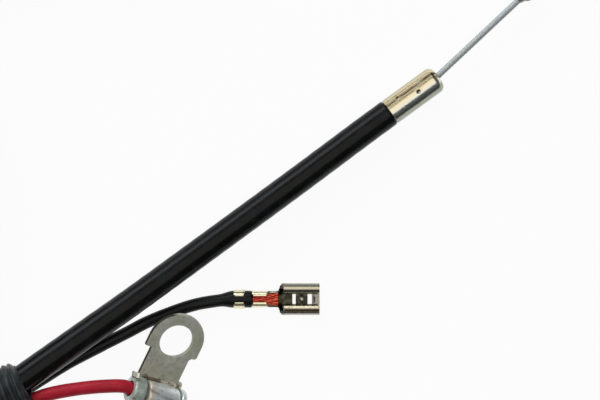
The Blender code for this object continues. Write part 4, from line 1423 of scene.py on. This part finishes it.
def make_barrel(materials):
    """The crimp barrel: flared end, conductor crimp and insulation grip, with grooves between them."""
    outer = [
        (2.3, BARREL_RIGHT),
        (2.5, BARREL_RIGHT - 0.1),
        (2.62, BARREL_RIGHT - 0.3),
        (2.6, 5.2),
        (2.5, 4.95),
        (2.2, 4.8),
        (2.2, 4.55),
        (2.45, 4.35),
    ]
    outer += [(2.5 + 0.12 * math.sin(math.pi * i / 12), 4.1 - 0.49 * i) for i in range(13)]
    outer += [(2.35, -1.9), (1.95, -2.1), (1.9, -2.4), (2.2, -2.6), (2.6, -2.8)]
    outer += [(2.64 - 0.02 * i, -3.1 - 0.26 * i) for i in range(6)]
    outer += [(2.5, -4.75), (2.4, -4.9), (2.25, BARREL_LEFT)]
    bore = [(BARREL_BORE_RADIUS, BARREL_LEFT), (BARREL_BORE_RADIUS, BARREL_RIGHT)]
    piece = turned("earth_barrel", [*outer, *bore], 72)
    here = eyelet_frame()
    along = Matrix.Rotation(math.pi / 2, 4, "Y")
    place = here @ Matrix.Translation((0, -BARREL_BELOW_HOLE, BARREL_HEIGHT)) @ along
    top = place.to_3x3().inverted() @ UP
    top_angle = math.atan2(top.y, top.x)

    def from_seam(co):
        seam = top_angle - 0.25 + 0.09 * co.z
        apart = (math.atan2(co.y, co.x) - seam + math.pi) % (2 * math.pi) - math.pi
        return apart * math.hypot(co.x, co.y)

    def along_crimp(co):
        return smooth_step((co.z + 2.3) / 0.6) * smooth_step((4.7 - co.z) / 0.6)

    def crimped(co):
        reach = math.hypot(co.x, co.y)
        if reach < BARREL_BORE_RADIUS + 0.2:
            return co
        depth = 0.25 * close_to(from_seam(co), 0.0, 0.32) * along_crimp(co)
        lump = 0.07 * wavering(co.z * 0.5, 1.6 * co.x / reach, 1.6 * co.y / reach)
        scale = (reach - depth + lump) / reach
        return Vector((co.x * scale, co.y * scale, co.z))

    write_on(piece, "bright", lambda co: max(along_crimp(co), smooth_step((co.z - 4.8) / 0.15)))
    # Painted highlight: cream on the left end of the conductor crimp.
    write_on(piece, "warm", lambda co: smooth_step((co.z + 2.1) / 0.3) * smooth_step((-0.4 - co.z) / 0.8))

    # Flux browns the crimp's seam; the dark bands at the groove behind the crimp and at the flare's groove
    # are painted shade.
    def flux_and_groove_shade(co):
        patchy = 0.45 + 0.9 * wavering(co.z * 0.9, 6.0)
        seam = patchy * close_to(from_seam(co), 0.0, 0.5) * along_crimp(co)
        return max(seam, 0.85 * close_to(co.z, -2.25, 0.28), 0.75 * close_to(co.z, 4.68, 0.18))

    write_on(piece, "flux_and_shade", flux_and_groove_shade)
    shift_points(piece, crimped)
    settle(piece, place, 50.0)
    return fit(piece, materials["barrel"], "tinned_steel", CABLE)


def make_barrel_tab(materials):
    """The corner of the insulation grip's wing, bent up square where the red wire enters."""
    deselect_all()
    bpy.ops.mesh.primitive_plane_add(size=1.0)
    piece = newest("earth_barrel_tab")
    bpy.ops.transform.resize(value=(1.5, 1.1, 1.0))
    bpy.ops.mesh.subdivide(number_cuts=5)
    bpy.ops.object.mode_set(mode="OBJECT")
    shift_points(piece, lambda co: Vector((co.x, co.y, 0.35 * (co.x / 0.75) ** 2 + 0.12 * co.y)))
    apply_modifier(piece, "SOLIDIFY", thickness=0.45, offset=0.0)
    round_edges(piece, 0.1, 2)

    # Darker towards the tab's rim.
    def at_rim(co):
        return 0.85 * smooth_step((max(abs(co.x) / 0.75, abs(co.y) / 0.55) - 0.75) / 0.15)

    write_on(piece, "flux_and_shade", at_rim)
    write_on(piece, "bright", lambda co: 1.0)
    # Painted highlight: the tab is tinted partly cream.
    write_on(piece, "warm", lambda co: 0.6)
    lean = Matrix.Rotation(math.radians(-38), 4, "X")
    settle(piece, eyelet_frame() @ Matrix.Translation((-5.5, -8.0, 2.5)) @ lean)
    return fit(piece, materials["barrel"], "tinned_steel", CABLE)


def make_solder(materials):
    """Lumpy solder where the tongue meets its barrel, thicker and cleaner towards the open end."""
    here = eyelet_frame()
    points = [here @ Vector((-3.3 + 1.06 * i, -8.35 + 0.12 * math.sin(1.9 * i), 0.35)) for i in range(9)]
    route = smooth_route(points, 0.15)
    length = route_length(route)

    def radius(way, angle):
        lumps = 0.22 * wavering(way * 1.1, math.cos(angle), math.sin(angle))
        crust = 0.1 * wavering(way * 3.4, 3 * math.cos(angle), 3 * math.sin(angle))
        return 0.6 + 0.15 * way / length + lumps + crust - 0.8 * rounded_end(way, length, 0.45)

    piece = tube_piece("earth_solder_bead", [(ring_places(route, 0.1), 22, radius)])
    to_eyelet = (LAYOUT @ here).inverted()
    write_on(piece, "flux_and_shade", lambda co: 0.85 * smooth_step((1.6 - (to_eyelet @ co).x) / 1.5))
    return fit(piece, materials["solder"], "solder", CABLE, "earth_solder")


def make_earth_strands(materials):
    here = eyelet_frame()
    start = here @ Vector((STRANDS_START, -BARREL_BELOW_HOLE, BARREL_HEIGHT))
    end = here @ Vector((BARREL_RIGHT - 0.2, -BARREL_BELOW_HOLE, BARREL_HEIGHT))
    piece = tube_piece("earth_lead_strands", strand_tubes(start, end, 0.1, 30, 0.15, 1.0, 0.2, 9.0))
    return fit(piece, materials["copper"], "copper", CABLE, "earth_wire_strands")


TAPE_PITCH = 1.45
TAPE_FOLD = 0.7
TAPE_SWELL = 0.3
TAPE_OVER_SLEEVE = 1.3
TAPE_PAST_MOUTH = 0.9


def tape_radius(length, seed):
    """Overlapping turns of tape: a fold at each edge, creases that wander, drawn in at the mouth."""

    def radius(way, angle):
        wander = 0.35 * wavering(way * 0.3, math.cos(angle) * 1.2, math.sin(angle) * 1.2 + seed)
        turns = (way / TAPE_PITCH + angle / (2 * math.pi) + wander) % 1.0
        fold = TAPE_FOLD * math.sin(math.pi * turns**0.8) ** 0.4 - 0.1
        crease = 0.16 * wavering(way * 1.6 + angle, 2.5 * math.cos(angle), 2.5 * math.sin(angle) + seed)
        share = min(max(way / length, 0.0), 1.0)
        swell = TAPE_SWELL * math.sin(math.pi * share) ** 0.6
        drawn_in = 0.5 * (1 - smooth_step((length - way) / 1.0))
        wound = BINDING_RADIUS - 0.25 + swell + fold + crease - drawn_in - rounded_end(way, length, 0.3)
        downwards = max(-math.cos(angle), 0.01)
        return min(wound, (BINDING_HEIGHT - 0.05) / downwards)

    return radius


def make_tape(name, points, seed, material, node):
    route = smooth_route(points, 0.16)
    piece = tube_piece(name, [(ring_places(route, 0.12), 80, tape_radius(route_length(route), seed))])
    return fit(piece, material, "binding", CABLE, node)


def make_tape_lap(material):
    """The tape's last turn, pulled down round the earth wire where it leaves the mouth."""
    middle, across = binding_axis(2.0)
    start = (*(middle - across * 2.4), 4.4)
    route = smooth_route([start, (-50.5, -37.1, 4.5), (-49.5, -36.75, 4.85), (-48.8, -36.55, 5.05)], 0.16)
    length = route_length(route)

    def radius(way, angle):
        crease = 0.1 * wavering(way * 1.6 + angle, 2.5 * math.cos(angle), 2.5 * math.sin(angle))
        return 2.3 - 0.7 * smooth_step(way / length) + crease - rounded_end(way, length, 0.15)

    piece = tube_piece("engine_tape_lap", [(ring_places(route, 0.1), 40, radius)])
    return fit(piece, material, "binding", CABLE)


def make_tapes(materials):
    points = []
    steps = 6
    wound = TAPE_OVER_SLEEVE + BINDING_LENGTH + TAPE_PAST_MOUTH
    for i in range(steps + 1):
        middle, _ = binding_axis(wound * (1 - i / steps) - TAPE_PAST_MOUTH)
        points.append((*middle, BINDING_HEIGHT))
    rear = TRIGGER_BINDING_REAR - TAPE_OVER_SLEEVE
    straight = [(rear + wound * i / steps, TRIGGER_BINDING_Y, BINDING_HEIGHT) for i in range(steps + 1)]
    return [
        make_tape("engine_tape", points, 0.0, materials["tape"], "engine_binding"),
        make_tape_lap(materials["tape"]),
        make_tape("trigger_tape", straight, 7.0, materials["tape"], "trigger_binding"),
    ]


def make_tie(materials):
    """Cable tie round both layers of the coil: a ring drawn out to a long loop, its head and its cut tail."""
    strap_radius = SLEEVE_RADIUS + GAP + TIE_THICKNESS / 2
    half_rise = LAYER_RISE / 2
    deselect_all()
    bpy.ops.mesh.primitive_circle_add(vertices=96, radius=strap_radius, fill_type="NOTHING")
    piece = newest("coil_strap")
    for side in (1.0, -1.0):
        pick("VERT", lambda co: (co.y + 0.001) * side > 0)
        bpy.ops.transform.translate(value=(0, half_rise * side, 0))
    bpy.ops.mesh.select_mode(type="EDGE")
    bpy.ops.mesh.select_all(action="SELECT")
    bpy.ops.transform.translate(value=(0, 0, -TIE_WIDTH / 2))
    bpy.ops.mesh.extrude_edges_move(TRANSFORM_OT_translate={"value": (0, 0, TIE_WIDTH)})
    bpy.ops.object.mode_set(mode="OBJECT")
    apply_modifier(piece, "SOLIDIFY", thickness=TIE_THICKNESS, offset=0.0, use_even_offset=True)
    round_edges(piece, 0.12, 2, 60)
    deselect_all()
    head_depth = 3.0
    head_length = 5.0
    bpy.ops.mesh.primitive_cube_add(size=1.0, location=(strap_radius + 0.25 + head_depth / 2, 0, 0))
    head = newest("tie_head")
    bpy.ops.transform.resize(value=(head_depth, head_length, TIE_WIDTH + 0.8))
    pick("FACE", lambda middle, normal: abs(normal.y) > 0.9)
    bpy.ops.mesh.inset(thickness=0.7)
    bpy.ops.transform.resize(value=(1.0, 0.55, 1.0))
    close_mesh()
    round_edges(head, 0.25, 3, 40)
    deselect_all()
    bpy.ops.mesh.primitive_cube_add(size=1.0, location=(strap_radius + 1.8, head_length / 2 + 1.2, 0))
    tail = newest("tie_tail")
    bpy.ops.transform.resize(value=(TIE_THICKNESS + 0.2, 3.0, TIE_WIDTH - 0.4))
    pick("FACE", lambda middle, normal: normal.y > 0.9)
    bpy.ops.mesh.bevel(offset=0.3, segments=3, affect="EDGES")
    close_mesh()
    take(head, tail, piece)
    bpy.ops.object.join()
    centre = (COIL_CENTRE.x - COIL_RADIUS, COIL_CENTRE.y, SLEEVE_HEIGHT + half_rise)
    settle(piece, Matrix.Translation(centre) @ Matrix.Rotation(math.pi / 2, 4, "X"))
    return fit(piece, materials["nylon"], "tie", CABLE, "coil_tie")


def dress_hidden_solids(materials):
    """The solids inside the conduits keep their shapes and take their finishes."""
    for end in ("engine", "trigger"):
        for node, finish in (("armour", "armour"), ("liner", "liner"), ("wire_run", "steel")):
            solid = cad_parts[f"{end}_{node}"]
            for slot in solid.material_slots:
                slot.material = materials[finish]


# Studio


def make_floor():
    """A pale floor, seen as nearly white, that keeps a faint shadow of the object."""
    deselect_all()
    bpy.ops.mesh.primitive_plane_add(size=6.0, location=(0, 0, -0.0001))
    floor = bpy.context.object
    floor.name = "floor"
    material = bpy.data.materials.new("studio_floor")
    material.use_nodes = True
    tree = material.node_tree
    shader = tree.nodes["Principled BSDF"]
    shader.inputs["Base Color"].default_value = (0.86, 0.86, 0.86, 1.0)
    shader.inputs["Roughness"].default_value = 0.9
    glow = tree.nodes.new("ShaderNodeEmission")
    glow.inputs["Color"].default_value = (1.0, 1.0, 1.0, 1.0)
    glow.inputs["Strength"].default_value = 1.0
    path = tree.nodes.new("ShaderNodeLightPath")
    seen = path.outputs["Is Camera Ray"]
    for output in ("Is Glossy Ray", "Is Transmission Ray"):
        either = tree.nodes.new("ShaderNodeMath")
        either.operation = "MAXIMUM"
        tree.links.new(seen, either.inputs[0])
        tree.links.new(path.outputs[output], either.inputs[1])
        seen = either.outputs[0]
    share = tree.nodes.new("ShaderNodeMath")
    share.operation = "MULTIPLY"
    share.inputs[1].default_value = 0.94
    tree.links.new(seen, share.inputs[0])
    mixed = tree.nodes.new("ShaderNodeMixShader")
    tree.links.new(share.outputs[0], mixed.inputs["Fac"])
    tree.links.new(shader.outputs["BSDF"], mixed.inputs[1])
    tree.links.new(glow.outputs["Emission"], mixed.inputs[2])
    tree.links.new(mixed.outputs["Shader"], tree.nodes["Material Output"].inputs["Surface"])
    floor.data.materials.append(material)


def add_softbox(name, width, depth, distance, azimuth, elevation, power, colour):
    """A soft lamp aimed at the middle of the layout; azimuth 0 is the image's right and 90 its top."""
    lamp = bpy.data.lights.new(name, "AREA")
    lamp.shape = "RECTANGLE"
    lamp.size = width
    lamp.size_y = depth
    lamp.energy = power
    lamp.color = colour
    softbox = bpy.data.objects.new(name, lamp)
    bpy.context.scene.collection.objects.link(softbox)
    a, e = math.radians(azimuth), math.radians(elevation)
    out = Vector((math.cos(a) * math.cos(e), math.sin(a) * math.cos(e), math.sin(e)))
    softbox.location = LAYOUT_MIDDLE + out * distance
    softbox.rotation_euler = out.to_track_quat("Z", "Y").to_euler()


def make_studio():
    make_floor()
    world = bpy.data.worlds.new("studio")
    world.use_nodes = True
    background = world.node_tree.nodes["Background"]
    background.inputs["Color"].default_value = (0.86, 0.93, 1.0, 1.0)
    background.inputs["Strength"].default_value = 0.11
    bpy.context.scene.world = world
    add_softbox("overhead", 2.2, 2.2, 2.0, -54.0, 88.0, 16.0, (1.0, 0.97, 0.9))
    add_softbox("window", 1.8, 1.2, 1.3, 126.0, 27.5, 7.5, (0.93, 0.97, 1.0))
    add_softbox("strip", 1.5, 0.34, 1.25, 126.0, 31.0, 4.8, (0.85, 0.94, 1.0))
    bpy.context.scene.view_settings.view_transform = "Standard"


def main():
    make_camera()
    materials = make_materials()
    sleeve, sleeve_path, sleeve_length = lay_sleeve(materials)
    conduit, stop, earth = lay_engine_cords(materials)
    trigger_conduit, trigger_stop, trigger_earth = lay_trigger_cords(materials)
    for piece, nodes in (
        (sleeve, ("sleeve_lead", "sleeve_coil", "sleeve_tail")),
        (conduit[0], ("engine_jacket",)),
        (stop[0], ("stop_wire",)),
        (earth[0], ("earth_wire",)),
        (trigger_conduit[0], ("trigger_jacket",)),
        (trigger_stop[0], ("trigger_stop_wire",)),
        (trigger_earth[0], ("trigger_earth_wire",)),
    ):
        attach(piece, CABLE)
        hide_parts(*nodes)
    engine_ferrule = make_cable_end(
        "engine", JACKET_END, FERRULE_MOUTH, WIRE_START, ENGINE_NIPPLE, materials
    )
    ahead = Vector((1.0, 0.0, 0.0))
    front = TRIGGER_JACKET_END + ahead * FERRULE_LENGTH
    start = front + ahead * TRIGGER_WIRE_OUT
    nipple = front + ahead * TRIGGER_WIRE_LENGTH
    trigger_ferrule = make_cable_end("trigger", TRIGGER_JACKET_END, front, start, nipple, materials)
    terminals = make_receptacles(materials)
    eyelet = [
        make_tongue(materials),
        make_barrel(materials),
        make_barrel_tab(materials),
        make_solder(materials),
        make_earth_strands(materials),
    ]
    make_tapes(materials)
    tie = make_tie(materials)
    dress_hidden_solids(materials)

    engine_exit = real((*binding_axis(0.0)[0], BINDING_HEIGHT))
    engine_rear = real((*BINDING_REAR, BINDING_HEIGHT))
    trigger_exit = real((TRIGGER_BINDING_REAR + BINDING_LENGTH, TRIGGER_BINDING_Y, BINDING_HEIGHT))
    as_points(sleeve_path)
    for (piece, path, length), radius, place, far_end, stiffness, ends in (
        (conduit, JACKET_RADIUS, engine_exit, "fitting", "stiff", [engine_ferrule]),
        (stop, STOP_WIRE_RADIUS, engine_exit, "connector", "medium", terminals["stop"]),
        (earth, EARTH_WIRE_RADIUS, engine_exit, "connector", "medium", eyelet),
        (trigger_conduit, JACKET_RADIUS, trigger_exit, "fitting", "stiff", [trigger_ferrule]),
        (trigger_stop, STOP_WIRE_RADIUS, trigger_exit, "connector", "medium", terminals["trigger_stop"]),
        (trigger_earth, EARTH_WIRE_RADIUS, trigger_exit, "connector", "medium", terminals["trigger_earth"]),
    ):
        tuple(place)
        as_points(path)
        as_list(ends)
    make_studio()


main()
deselect_all()
